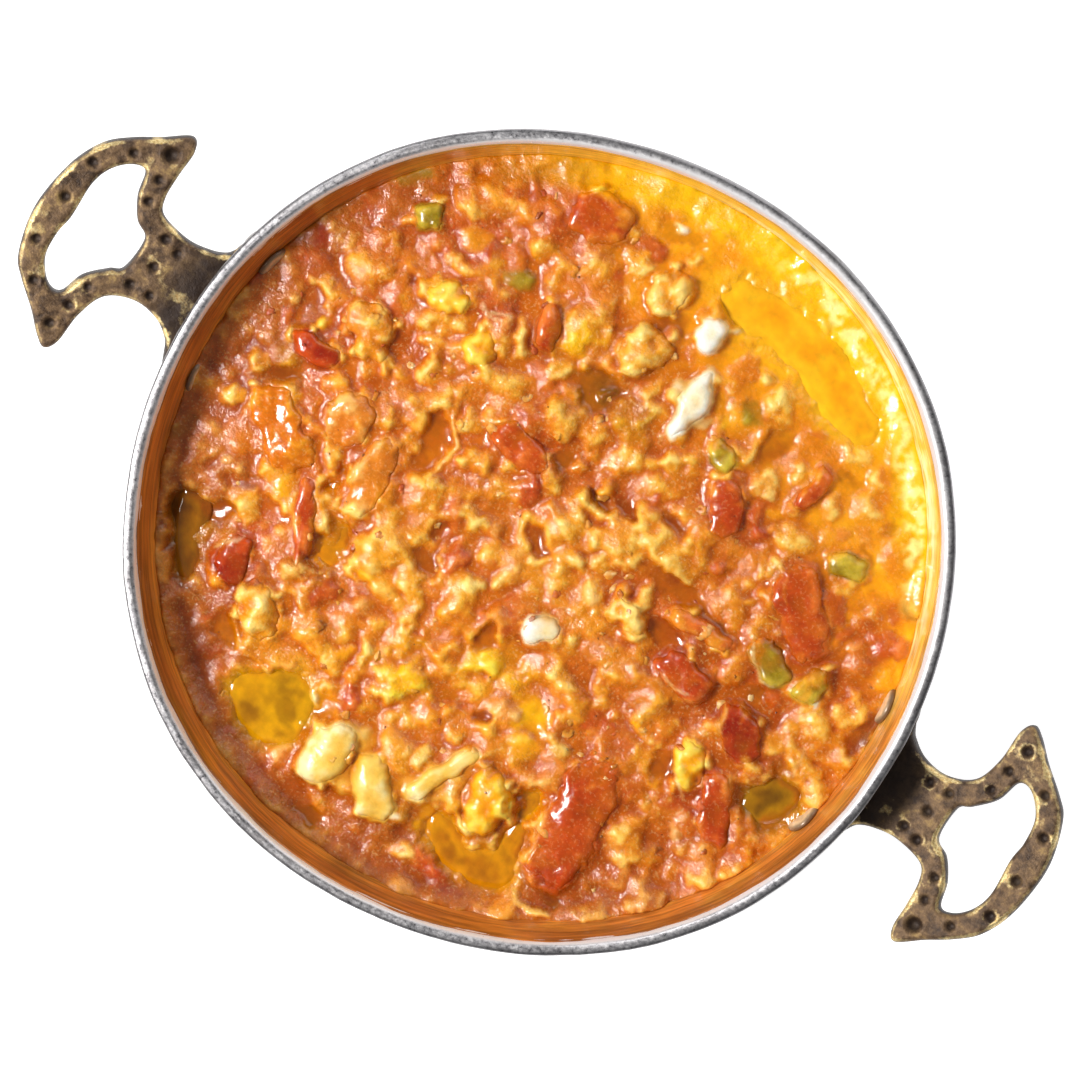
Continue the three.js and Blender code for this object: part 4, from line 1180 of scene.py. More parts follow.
          (41, -20, 3.4, 2, 20, 1.2), (43, -26, 2, 2, 0, 1.5), (74, 39, 6, 10, 25, 0.6),
          (-62, -6.4, 3, 2.6, 0, 2.4), (0, -66.5, 11, 5, -50, 4.2)),
    *dabs(Kind.WHITE,
          (5, 58, 6.5, 8, 20, 1.7, 1.6), (8.5, 61, 4.5, 2.2, 20, 1.4), (9.8, 48.5, 6, 8, 0, 2.6),
          (8, 45, 8, 4, -30, 2.2), (10, 38.5, 4.5, 8, 5, 2.2), (13.5, 41, 4, 5, 0, 1.4),
          (11.5, -15, 7, 8.5, 25, 2.7, 1.7), (-21, -58.5, 4, 4, 0, 1.3), (7.3, -69, 4, 3, 0, 2.4),
          (-8.5, 60.5, 4.5, 9, 10, 2.4), (62, -37, 3.2, 8, 30, 1.0), (-51, 54.2, 3.4, 1.4, 20, 2.1),
          (-34, -53.5, 3, 2.6, 0, 1.0), (36, 72, 8, 3, -30, 0.5), (50, 65, 13, 4, -42, 0.5),
          (59, 56.5, 10, 3.6, -50, 0.5), (24, 73, 4, 2, -35, 0.8), (-13, 73.5, 2, 2.4, 0, 0.9),
          (69, 5, 1.8, 7, 5, 2.4)),
    *dabs(Kind.PEPPER,
          (22.5, 50, 7, 6, 10, 1.2), (-36, 45, 6, 6, 0, 1.6), (-62, 32, 10, 4, 8, 0.7),
          (-13, 42.5, 8, 5, 0, 0.8), (-77, -24, 5, 9, 0, 0.4), (-57, -52, 6, 5, -40, 0.5),
          (56.5, 5, 4, 6, 40, 2.6), (-67, 50, 9, 4, 42, 0.4)),
    *dabs(Kind.AMBER,
          (30, 45.5, 5, 10, 0, -0.8), (35, 8, 26, 4.6, -4, -0.9), (33, -1, 9, 6, 0, -0.9),
          (48.5, 49.5, 5, 3, 0, -0.6), (-3, 57, 6, 6, 0, -0.9), (3, -24, 4, 8, 0, -0.9),
          (-63, -36, 10, 5, 30, -0.8), (-31, 4, 7, 13, 8, -0.9), (-45, -56, 10, 7, -30, -0.3),
          (-12, 72, 8, 3, 8, -0.5), (6, 15, 8, 3, 0, -0.8), (50, -26, 5, 8, 0, -0.4)),
    *dabs(Kind.OLIVE,
          (-8.5, 34.5, 11, 9, 0, -0.9), (76, -18, 7, 13, 10, -1.0), (-66, -1.4, 7, 2.6, 0, -0.8),
          (-7, -80, 9, 4, 0, -0.4), (46.5, -64.2, 5.5, 4.5, 0, -1.2), (-6, 18, 6, 5, 0, -0.5),
          (-60, 44.5, 5, 5, 0, 0), (-33, 8, 3, 6, 0, -1.2), (-69, -39, 6, 5, 0, -0.6),
          (58, 0, 4, 3, 0, -0.6)),
    # Dark brown pits: juice standing in the hollows, darkened further as painted shade; a few small raised
    # ones are specks.
    *dabs(Kind.BROWN,
          (-0.5, -0.5, 6, 3.6, -20, -1.4), (12, 17, 5, 2.6, 0, -1.3), (5, 15.5, 7, 1.6, 5, -1.4),
          (61.5, 46.5, 4, 4, 0, -0.8), (60.5, 38.5, 6, 1.6, -25, -1.0), (75, 33.6, 4.4, 2.2, -30, -1.5),
          (13, -39, 5, 2, 5, -1.2), (82, 7, 3.4, 12, 0, -0.2), (-5.6, 35.3, 0.9, 1.6, 0, 0.5),
          (61, -42, 1.6, 1.8, 0, 0.6), (46, -64, 2.2, 2.6, -30, -1.4), (-18, -18, 4, 6, 20, -1.0),
          (46, 50.5, 3, 1.6, 0, -0.8), (-66, -38.5, 7, 3, 10, -0.8), (-19.5, -10.5, 2.4, 4, 0, -1.2),
          (1.5, -26, 2.4, 3, 0, -1.3), (76.5, -17, 3, 4, 0, -1.0), (22, 20, 6, 2.4, -20, -0.8),
          (-56, 31, 3, 2, 0, -0.6), (-56, -66, 1.2, 1.2, 0, 0.3)),
    *dabs(Kind.FOLD,
          (-8, -60, 9, 7, 20, 2.4), (-5.4, -68, 9, 8, -30, 2.8), (6, -61.5, 8, 6, 60, 1.8),
          (18.5, -49.5, 8, 5, 66, 1.4)),
]

# Broad stains, where one food has coloured its surroundings.
STAINS: list[Dab] = [
    *dabs(Kind.ORANGE,
          (-65, 35, 34, 24, -50), (-46, 63, 38, 20, 35), (-9, 20, 22, 15, 0), (30, 2, 30, 13, -10),
          (47, 1, 26, 20, -20), (62, 10, 24, 26, 20), (-31, 5, 14, 22, 10), (-55, 20, 20, 20, 0),
          (35, 52, 20, 16, -30)),
    *dabs(Kind.TOMATO,
          (-46, 64, 22, 13, 38), (-32, 62, 20, 14, 30), (-50, 45, 16, 12, 40), (34, 34, 22, 12, -40),
          (44, -5, 26, 18, -10), (61, -24, 26, 20, -60), (42, -44, 32, 18, -80), (56, 24, 24, 14, -45),
          (-14, 16, 16, 12, 0), (-52, -36, 14, 18, 0), (-35, 36, 14, 10, 50), (72, 22, 14, 14, 0),
          (24, -72, 20, 8, 0)),
    *dabs(Kind.MAUVE,
          (-80, 4, 16, 44, 0), (-72, -30, 18, 30, 30), (-50, -66, 40, 16, -38), (0, -82, 54, 12, 4),
          (60, -55, 28, 18, 45), (-66, 44, 22, 12, 55), (-42, -36, 12, 16, 10)),
    *dabs(Kind.CREAM,
          (7, -3, 22, 16, -30), (-24, -20, 18, 26, 10), (48, 42, 16, 18, 0), (0, -60, 24, 16, -40),
          (-38, -50, 18, 14, -40), (-44, 30, 16, 12, 20)),
    *dabs(Kind.FOLD, (13, -55, 28, 9, 66), (-3, -64, 16, 10, 0)),
    *dabs(Kind.GOLD,
          (-20, 40, 14, 12, 0), (8, -28, 16, 16, 0), (-8, -42, 16, 14, 0), (-24, -62, 20, 12, -50)),
    *dabs(Kind.AMBER,
          (-36, -27, 8, 20, 20), (0, 34, 14, 14, 0), (26, -62, 20, 14, -40), (-62, -38, 16, 12, 40),
          (-66, 0, 8, 20, 10), (74, -16, 12, 16, 0), (-4, 56, 12, 8, 0)),
]

RIDGES: list[Ridge] = [
    Ridge(Kind.PINK, 2.2, 3.0, ((32.4, -36), (34, -42), (36, -50), (37.4, -58), (37, -63))),
    Ridge(Kind.CREAM, 3.0, 2.6, ((37, -62), (39, -66), (41.5, -69), (45, -69.4), (49, -67.5))),
    Ridge(Kind.PINK, 2.0, 2.8, ((36, -7.6), (38.5, -10), (43, -10.8), (47.5, -9.6))),
    Ridge(Kind.WHITE, 1.4, 3.6, ((38, -8.2), (42, -9.2), (46, -8.4))),
    Ridge(Kind.CREAM, 3.4, 2.8, ((54, -6.4), (54.8, -10.6), (57, -13.6), (60, -14.8))),
    Ridge(Kind.PINK, 1.6, 2.2, ((-33.4, 19.5), (-31.5, 14), (-30, 10), (-26.6, 7), (-27, 2), (-27.4, -3))),
    Ridge(Kind.PINK, 1.5, 2.0, ((-57, -2), (-56.4, -6), (-54.8, -10), (-51, -8))),
    Ridge(Kind.CREAM, 1.8, 2.2, ((-43.6, -10), (-42, -15), (-40.6, -18.6), (-37, -20.4))),
    Ridge(Kind.CREAM, 1.6, 1.9, ((-38, -20), (-35.6, -25), (-32, -29.4), (-27, -31))),
    Ridge(Kind.PINK, 1.4, 1.9, ((-70, -13), (-67, -16.6), (-61, -20.6))),
    Ridge(Kind.PINK, 1.6, 2.2, ((-62.4, 21), (-61.4, 17), (-60, 13.4), (-57.6, 10.6))),
    Ridge(Kind.PINK, 1.3, 1.7, ((-59, 39.4), (-56, 38.2), (-52, 36.8))),
    Ridge(Kind.PINK, 1.3, 1.8, ((-46.6, 62), (-44.4, 59), (-42, 56.6), (-38.6, 55))),
    Ridge(Kind.PINK, 1.2, 1.5, ((-44.8, 69.4), (-46.8, 66.4), (-46.4, 64))),
    Ridge(Kind.WHITE, 1.0, 1.9, ((-39.4, 36.2), (-37, 35.4), (-34.4, 36.4), (-33, 37.2))),
    Ridge(Kind.WHITE, 0.9, 2.0, ((-39.2, 35.4), (-36.6, 34.5), (-34, 35.3))),
    Ridge(Kind.CREAM, 1.3, 1.6,
          ((-48, -44), (-47.2, -49), (-45, -53.6), (-41, -57.4), (-36, -58.4), (-32.6, -59.6))),
    Ridge(Kind.WHITE, 1.4, 2.6, ((-57.4, -42.6), (-56.2, -39.6), (-53.4, -37.2))),
    Ridge(Kind.CREAM, 1.8, 2.2, ((-49.6, -23), (-47, -27), (-44.6, -29.6))),
    Ridge(Kind.WHITE, 1.2, 3.6, ((53, -24.6), (56, -26.6), (58.8, -28.6))),
    Ridge(Kind.PINK, 1.4, 2.0, ((32.6, -13), (34.6, -17), (37.4, -20.8))),
    Ridge(Kind.PINK, 1.5, 1.6, ((59.6, -32), (60.6, -36), (62, -39.6))),
    Ridge(Kind.PINK, 1.5, 2.4, ((47.4, 28), (49, 24), (51.4, 20.4))),
    Ridge(Kind.PINK, 1.4, 2.6, ((57, 27.4), (60, 23.6), (63.4, 20.6))),
    Ridge(Kind.WHITE, 1.2, 2.0, ((51, 9), (53.6, 5.4), (57, 2.6), (60, 3.4))),
    Ridge(Kind.WHITE, 1.1, 1.4, ((-25.6, -72), (-24, -71.2), (-21.6, -70))),
    Ridge(Kind.CREAM, 1.4, 1.4, ((-63.6, 27.6), (-62.4, 25.4), (-60.4, 23.6))),
    Ridge(Kind.PINK, 1.2, 1.5, ((67.4, 17), (69, 20), (71, 22))),
    Ridge(Kind.WHITE, 1.0, 1.6, ((73.6, -3), (74.6, -7), (75, -11))),
    Ridge(Kind.PINK, 1.4, 1.8, ((-16.6, -12), (-16, -16), (-13.6, -19.4))),
    Ridge(Kind.CREAM, 1.6, 1.5, ((-5, -53), (-3, -57), (0, -59.6))),
    Ridge(Kind.PINK, 1.3, 1.3, ((-53.4, 10), (-52.6, 6.6), (-50.4, 4))),
]


@dataclass(frozen=True)
class Chunk:
    """One of the larger pieces, over its solid's own place and size."""
    name: str
    kind: Kind
    at: tuple[float, float]
    size: tuple[float, float, float]
    turn: float
    rise: float
    square: float = 3.0

    def footprint(self) -> Dab:
        """Its outline on the plan."""
        return Dab(self.kind, *self.at, self.size[0], self.size[1], self.turn, self.rise, self.square)


def chunks(kind: Kind, prefix: str, square: float, rise: float, *rows: tuple) -> list[Chunk]:
    """Makes chunks of one kind from rows of x, y, length, width, thickness, turn and changes."""
    made = []
    for i, (x, y, length, width, thick, turn, *extra) in enumerate(rows):
        changes = dict({"rise": rise, "square": square}, **(extra[0] if extra else {}))
        made.append(Chunk(f"{prefix}_{i + 1}", kind, (x, y), (length, width, thick), turn, **changes))
    return made


CHUNKS: list[Chunk] = [
    *chunks(Kind.TOMATO, "tomato", 3.0, 2.4,
            (41.6, -47.3, 34, 14.5, 5, -81), (42.7, -6.1, 15, 9, 6.5, -6, {"rise": 3.0}),
            (59.8, -9.3, 15, 9.5, 7, -32, {"rise": 3.2}), (65.4, -26.7, 19, 8, 5.5, -62),
            (55.2, 20.5, 23, 12, 6, -44, {"rise": 3.0}), (39.9, 4.6, 17.5, 5.4, 4.5, 6),
            (28.6, 29.4, 14, 8, 5, -58), (-60.1, -12.4, 22, 11.5, 5.5, -33),
            (-49.4, -1.8, 13, 11, 5, -70), (-52.7, -42.4, 12, 7.2, 5.5, -78),
            (-44.9, -25.8, 22, 5.6, 4.5, -60), (-38.1, -8.9, 20, 8.6, 5, -82),
            (-63.6, 6.5, 12.5, 5.8, 5, 8), (-15.3, 14.6, 15, 8.4, 4.5, -8, {"rise": 1.8}),
            (-29.2, 65.6, 15, 12, 5, 12), (-24.8, 39.7, 11, 5.2, 4.5, -68), (42.1, 43.9, 12, 5, 4.5, 84)),
    *chunks(Kind.CREAM, "egg", 2.2, 3.2,
            (-11.4, -65.8, 17, 11.6, 8.5, 76, {"rise": 4.6}),
            (0.9, -66.2, 17, 10.4, 8, -47, {"rise": 4.2}),
            (23.4, -54.5, 17.5, 11.6, 8, -60, {"rise": 4.2}),
            (12.1, -54.5, 22, 5, 5, 68, {"rise": 2.6, "square": 3.0}),
            (54.6, -21.8, 11, 8.8, 7, -52, {"rise": 3.6}), (11.1, -15.6, 8.5, 7, 6, 30),
            (-42.3, -48.3, 15.5, 9.5, 7, -44, {"rise": 3.8}), (10, 43.7, 17, 6.6, 6, 92),
            (4.7, 58.4, 8.6, 7.2, 5.5, -70), (-8, 60.8, 12, 8.6, 6.5, 80),
            (-46.6, 32.4, 9.6, 8.6, 7, 20, {"rise": 3.6}), (-34.5, 27.4, 9.6, 8, 6.5, 20, {"rise": 3.4}),
            (-5, 47.3, 13.5, 11, 6.5, 58), (24.9, -2.4, 9.6, 8, 6.5, 10),
            (-56.2, 16.8, 14.6, 10, 6, -36)),
    *chunks(Kind.PEPPER, "pepper", 3.6, 2.2,
            (66.6, 8.3, 9.8, 6.6, 5.5, 84, {"rise": 2.8}), (58, 34.4, 9.4, 5.4, 4.5, 15),
            (55.9, 7.3, 12.6, 7.6, 5, -26), (21.9, 38.5, 8.4, 6, 4.5, -22),
            (-59.5, 44.7, 7.6, 6.6, 4.5, 40)),
]
# Pieces whose flesh differs from the rest of their kind.
FLESH_OF: dict[str, Kind] = {
    "tomato_8": Kind.ORANGE, "tomato_9": Kind.PINK, "tomato_12": Kind.PINK,
    "tomato_13": Kind.SKIN, "tomato_10": Kind.SKIN, "tomato_3": Kind.SKIN,
    "egg_1": Kind.FOLD, "egg_2": Kind.FOLD, "egg_3": Kind.YOLK, "egg_4": Kind.FOLD,
    "egg_5": Kind.YOLK, "egg_6": Kind.WHITE, "egg_8": Kind.WHITE, "egg_9": Kind.WHITE,
    "egg_11": Kind.YOLK, "egg_12": Kind.YOLK, "egg_15": Kind.CURD,
}


@dataclass(frozen=True)
class Pool:
    """Oil standing between the pieces: its outline on the plan and its colours, shallow and deep."""
    name: str
    shallow: str
    deep: str
    outline: tuple[tuple[float, float], ...]


POOLS: list[Pool] = [
    Pool("oil_pool_1", "DCA60C", "966C08",
         ((-30.5, -58.5), (-23.1, -56.6), (-20.2, -61), (-19.7, -67.8), (-24.6, -72.1),
          (-32.4, -70.7), (-37.3, -65.8))),
    Pool("oil_pool_2", "DC9A0C", "A46806",
         ((32.3, -47.3), (34.6, -57), (37.1, -65.8), (35.2, -69.2), (27.3, -71.6), (18.5, -68.7),
          (16.6, -63.9), (26.4, -65.3), (31.9, -59), (30.3, -50.2))),
    Pool("oil_pool_3", "9A6A14", "6A4408",
         ((-69.8, -37.9), (-65.3, -37.1), (-62.9, -43.4), (-59.4, -48.8), (-58.9, -52.7), (-65.3, -46.8))),
    Pool("oil_pool_4", "D08A10", "A2660A",
         ((-44, -12), (-41, -20.5), (-35.5, -22.6), (-33.9, -29.7), (-36, -35.6), (-38.8, -32.6),
          (-38, -24.8), (-43.4, -17.9))),
    Pool("oil_pool_5", "FFCA3C", "FBAC1E",
         ((1.9, 66.2), (11.8, 63.2), (23.7, 63.2), (33.6, 59.2), (44.5, 57.2), (44.5, 63.2), (33.6, 68.2),
          (23.7, 71.7), (11.8, 72.7), (3.9, 71.2))),
    Pool("oil_pool_6", "B0860C", "6E5206",
         ((72.7, -14), (78.2, -13.5), (78, -18.9), (73.6, -23.8), (70.1, -22.3), (70.7, -17.5))),
]


# ---------------------------------------------------------------- the mass of food
def merge(a: Array, b: Array, reach: float) -> Array:
    """The higher of two heights, with the crease between them filled over a reach in millimetres."""
    return np.maximum(a, b) + np.clip(reach - np.abs(a - b), 0, None) ** 2 / (4 * reach)


@dataclass
class FoodField:
    """The food's surface as a height, a colour and a feel over the plan, on a square grid."""
    SUNNY: ClassVar[float] = math.radians(66)
    GRADE: ClassVar[tuple[float, float, float]] = (1.0, 1.1, 1.46)
    shape: PanShape
    level: float = 29.2
    crown: float = 1.2
    oil_level: float = 28.4
    half: float = 87.0
    step: float = 0.33
    clumps: int = 330
    scraps: int = 400
    seed: int = 7

    def __post_init__(self) -> None:
        """Works the surface out once."""
        line = np.arange(-self.half, self.half + self.step / 2, self.step)
        self.x, self.y = np.meshgrid(line, line)
        self.place = np.stack([self.x, self.y, np.zeros_like(self.x)], -1)
        self.grain = cloud(self.place, 2.6, 70, 3)
        self.wide = cloud(self.place, 7.5, 71, 3)
        self.bend_x = 1.5 * cloud(self.place, 6, 75, 3)
        self.bend_y = 1.5 * cloud(self.place, 6, 76, 3)
        self.veil = cloud(self.place, 7, 78, 3)
        turns = np.linspace(0, 2 * math.pi, 720, endpoint=False)
        ring = np.stack([85 * np.cos(turns), 85 * np.sin(turns), 0 * turns], -1)
        lower_left = smooth(-0.3, 0.9, np.cos(turns - math.radians(258)))
        self.margin = turns, 1.2 + 2.2 * lower_left + 0.9 * cloud(ring, 12, 82, 3)
        self.lay_matrix()
        self.scatter_filler()
        for stain in STAINS:
            self.stain(stain, 0.75)
        for dab in PLACED:
            self.stamp(dab, strength=0.92)
        for stain in STAINS:
            self.stain(stain, 0.35)
        self.bed_chunks()
        self.crowd_chunks()
        self.raise_ridges()
        self.add_curds()
        self.sink_pools()
        self.pour_juice()
        self.colour = self.paint()
        self.open_beds()

    def climb(self, angle: Array | float) -> Array | float:
        """How far the food is drawn up the wall: most at the lower left of the photo."""
        return np.interp(angle, *self.margin, period=2 * math.pi)

    def edge(self, angle: Array | float) -> Array | float:
        """Radius at which the food meets the wall."""
        inner = self.shape.inner(self.level + self.climb(angle) - 0.8)
        return inner + self.shape.swell(inner, angle, self.level)

    def rest(self, x: Array, y: Array) -> Array:
        """Height of the mass before anything stands on it: a low crown, drawn up at the wall."""
        angle = np.arctan2(y, x)
        share = np.hypot(x, y) / self.edge(angle)
        slack = 0.45 * smooth(45, 66, x * math.cos(self.SUNNY) + y * math.sin(self.SUNNY))
        drawn_up = self.climb(angle) * smooth(0.94, 1.0, share)
        return self.level + self.crown * (1 - share ** 2) - 0.8 - slack + drawn_up

    def sun(self, x: Array, y: Array) -> Array:
        """Share of the yellow, oily side of the dish at a place."""
        toward = x * math.cos(self.SUNNY) + y * math.sin(self.SUNNY)
        return smooth(36, 62, toward + 5 * self.pick(self.wide, x, y))

    def shore(self, x: Array, y: Array) -> Array:
        """How far out a place is: 0 at the middle and 1 where the food meets the wall."""
        return np.hypot(x, y) / self.edge(np.arctan2(y, x))

    def crust(self, x: Array, y: Array) -> Array:
        """Share of the red-brown margin along the left and the bottom."""
        side = smooth(-0.35, 0.45, np.cos(np.arctan2(y, x) - math.radians(232)))
        return side * smooth(58, 78, np.hypot(x, y) + 5 * self.pick(self.wide, x, y))

    def pick(self, grid: Array, x: Array, y: Array) -> Array:
        """Reads a grid between its points.

        Args:
            grid: Values on the square grid.
            x, y: Places in millimetres.

        Returns:
            The values there.
        """
        if np.shape(x) == self.x.shape:
            return grid
        gx = np.clip((np.asarray(x) + self.half) / self.step, 0, grid.shape[1] - 1.001)
        gy = np.clip((np.asarray(y) + self.half) / self.step, 0, grid.shape[0] - 1.001)
        ix, iy = gx.astype(int), gy.astype(int)
        fx, fy = gx - ix, gy - iy
        if grid.ndim == 3:
            fx, fy = fx[..., None], fy[..., None]
        return (grid[iy, ix] * (1 - fx) * (1 - fy) + grid[iy, ix + 1] * fx * (1 - fy)
                + grid[iy + 1, ix] * (1 - fx) * fy + grid[iy + 1, ix + 1] * fx * fy)

    def bent(self, x: Array, y: Array, share: float = 1.0) -> tuple[Array, Array]:
        """Moves places a little, so that outlines drawn over them come out uneven."""
        return x + share * self.pick(self.bend_x, x, y), y + share * self.pick(self.bend_y, x, y)

    def lay_matrix(self) -> None:
        """Starts with the juicy curd between the lumps."""
        self.base = self.rest(self.x, self.y)
        rolling = cloud(self.place, 15, 80, 2)
        inland = smooth(0.98, 0.85, self.shore(self.x, self.y))
        self.base += 0.7 * rolling * (1 - self.sun(self.x, self.y)) * inland
        self.z = self.base + 0.9 * self.wide + 0.15 * self.grain - 0.3
        sun, crust = self.sun(self.x, self.y), self.crust(self.x, self.y)
        reddish = 0.6 * smooth(-0.1, 0.8, cloud(self.place, 15, 72, 3))
        self.shades = []
        curd, orange, mauve = (FLESH[k].shades() for k in (Kind.CURD, Kind.ORANGE, Kind.MAUVE))
        gold = (linear("E8900E"), linear("FBAE20"), linear("FFD648"))
        for i in range(3):
            tint = blend(np.broadcast_to(curd[i], self.place.shape), orange[i], reddish)
            tint = blend(tint, np.array(gold[i]), sun * 0.95)
            self.shades.append(blend(tint, mauve[i], crust))
        self.bumps = 0.55 * (1 - 0.45 * crust) * (1 - 0.8 * sun)
        self.liquid = 0.6 * sun * smooth(-0.2, 0.4, self.wide + 0.2)
        self.rough = np.ones(self.x.shape)

    def window(self, dab: Dab) -> tuple[slice, slice]:
        """The part of the grid that a dab can touch."""
        reach = 0.72 * max(dab.length, dab.width) + 3
        count, centre = self.x.shape[0], (dab.x, dab.y)
        low = [int(np.clip((v - reach + self.half) / self.step, 0, count)) for v in centre]
        high = [int(np.clip((v + reach + self.half) / self.step + 2, 0, count)) for v in centre]
        return slice(low[1], high[1]), slice(low[0], high[0])

    def cover(self, part: tuple[slice, slice], kind: Kind, share: Array) -> None:
        """Changes what the surface is made of.

        Args:
            part: Where on the grid.
            kind: To what.
            share: How far, for each grid point.
        """
        flesh = FLESH[kind]
        for grid, shade in zip(self.shades, flesh.shades()):
            grid[part] = blend(grid[part], shade, share)
        for grid, value in ((self.bumps, flesh.bumps), (self.liquid, flesh.liquid),
                            (self.rough, flesh.rough)):
            grid[part] += (value - grid[part]) * share

    def stamp(self, dab: Dab, wander: float = 1.0, strength: float = 1.0) -> None:
        """Puts one lump, pit or patch into the surface.

        Args:
            dab: What and where.
            wander: How uneven its outline is.
            strength: How fully its colour covers what was there.
        """
        part = self.window(dab)
        x, y = self.x[part] + wander * self.bend_x[part], self.y[part] + wander * self.bend_y[part]
        size = min(dab.length, dab.width)
        q = dab.reach(x, y, np.clip(0.7 / size, 0.03, 0.2) * self.grain[part])
        if dab.rise > 0:
            dome = np.where(q < 1, np.clip(1 - q ** 2, 0, 1) ** 0.6, -1.6 * (q - 1))
            height = self.base[part] + dab.rise * dome * (1 + 0.25 * self.wide[part])
            share = smooth(-0.6, 0.6, height - self.z[part]) * smooth(1.12, 0.8, q)
            self.z[part] = merge(self.z[part], height, 0.7)
        else:
            share = smooth(1.3, 0.55, q)
            sunk = self.base[part] + dab.rise - 0.3
            self.z[part] += (np.minimum(self.z[part], sunk) - self.z[part]) * share
        self.cover(part, dab.kind, share * strength)

    def stain(self, dab: Dab, strength: float) -> None:
        """Colours a broad place without changing its height or its feel.

        Args:
            dab: What and where.
            strength: How fully.
        """
        part = self.window(dab)
        q = dab.reach(self.x[part] + 2 * self.bend_x[part], self.y[part] + 2 * self.bend_y[part],
                      0.3 * self.wide[part])
        share = strength * smooth(1.2, 0.3, q)
        for grid, shade in zip(self.shades, FLESH[dab.kind].shades()):
            grid[part] = blend(grid[part], shade, share)

    def scatter_filler(self) -> None:
        """Scatters the lumps of egg and tomato that fill the dish, by a seeded draw."""
        draw = np.random.default_rng(self.seed)
        mixes = {
            "curd": [(Kind.CURD, 0.44), (Kind.CREAM, 0.12), (Kind.ORANGE, 0.29), (Kind.PINK, 0.07),
                     (Kind.TOMATO, 0.08)],
            "sun": [(Kind.CURD, 0.05), (Kind.CREAM, 0.15), (Kind.ORANGE, 0.35), (Kind.YOLK, 0.45)],
            "crust": [(Kind.MAUVE, 0.5), (Kind.CURD, 0.2), (Kind.TOMATO, 0.15), (Kind.BROWN, 0.05),
                      (Kind.PINK, 0.1)]}
        for i in range(self.clumps + self.scraps):
            turn, reach = draw.uniform(0, 2 * math.pi), math.sqrt(draw.uniform(0, 1))
            x, y = (83 * reach * f(turn) for f in (math.cos, math.sin))
            here = np.array([x]), np.array([y])
            sun, crust = float(self.sun(*here)[0]), float(self.crust(*here)[0])
            name = "crust" if draw.uniform() < crust else "sun" if draw.uniform() < sun else "curd"
            kinds, shares = zip(*mixes[name])
            kind = kinds[draw.choice(len(kinds), p=np.array(shares) / sum(shares))]
            size = draw.uniform(4, 9.5) if i < self.clumps else draw.uniform(2, 4)
            rise = (0.5 + 0.24 * size) * draw.uniform(0.45, 1.15) * (1 - 0.5 * crust) * (1 - 0.75 * sun)
            length, turn = size * draw.uniform(1, 1.7), draw.uniform(0, 180)
            self.stamp(Dab(kind, x, y, length, size, turn, rise, 2.2), 1.0, 0.6)

    def chunk_reach(self, chunk: "Chunk", x: Array, y: Array) -> Array:
        """0 at the middle of a larger piece and 1 on its uneven edge."""
        bent_x, bent_y = self.bent(x, y, 0.55)
        return chunk.footprint().reach(bent_x, bent_y, 0.04 * self.pick(self.grain, x, y))

    def bed_chunks(self) -> None:
        """Sets each larger piece into the surface, with its neighbours drawn up against it."""
        draw = np.random.default_rng(self.seed + 1)
        for chunk in CHUNKS:
            foot = chunk.footprint()
            part = self.window(foot)
            x, y = self.x[part], self.y[part]
            bent_x = x + 0.55 * self.bend_x[part]
            bent_y = y + 0.55 * self.bend_y[part]
            turn = math.radians(chunk.turn)
            along = (bent_x - foot.x) * math.cos(turn) + (bent_y - foot.y) * math.sin(turn)
            along = along / (foot.length / 2)
            q = foot.reach(bent_x, bent_y, 0.04 * self.grain[part])
            rise = chunk.rise + 0.8
            tilt = draw.uniform(-0.12, 0.12)
            if chunk.kind is Kind.CREAM and FLESH_OF.get(chunk.name) not in (Kind.WHITE, Kind.FOLD):
                dome = np.full(x.shape, -1.0)
                for k in range(7):
                    way, out = k * 2.4 + draw.uniform(0, 0.8), draw.uniform(0.25, 0.62) if k else 0.0
                    u, v = out * math.cos(way) * foot.length / 2, out * math.sin(way) * foot.width / 2
                    lobe = Dab(chunk.kind, foot.x + u * math.cos(turn) - v * math.sin(turn),
                               foot.y + u * math.sin(turn) + v * math.cos(turn),
                               foot.length * draw.uniform(0.42, 0.6), foot.width * draw.uniform(0.5, 0.68),
                               chunk.turn + draw.uniform(-40, 40))
                    near = lobe.reach(bent_x, bent_y, 0.05 * self.grain[part])
                    top = draw.uniform(0.72, 1.0)
                    blob = top * np.where(near < 1, np.clip(1 - near ** 2, 0, 1) ** 0.5, -1.2 * (near - 1))
                    dome = merge(dome, blob, 0.12)
                dome = np.minimum(dome, np.where(q < 1, 2, -1.6 * (q - 1)))
            else:
                flat = np.clip(1 - q ** 4, 0, 1) ** 0.5
                dome = np.where(q < 1, flat * (0.9 + tilt * along), -1.6 * (q - 1))
            height = self.base[part] + rise * dome + 0.35 * self.wide[part] * (q < 1)
            sauced = 0.0 if chunk.kind is Kind.CREAM else 0.35 if foot.width > 11 else 0.6
            bare = 1 - sauced * smooth(0.0, 0.6, self.veil[part] + 0.5 * (q - 0.6))
            share = smooth(-0.5, 0.5, height - self.z[part]) * smooth(1.1, 0.85, q) * bare
            self.z[part] = merge(self.z[part], height, 0.6)
            self.cover(part, FLESH_OF.get(chunk.name, chunk.kind), share)

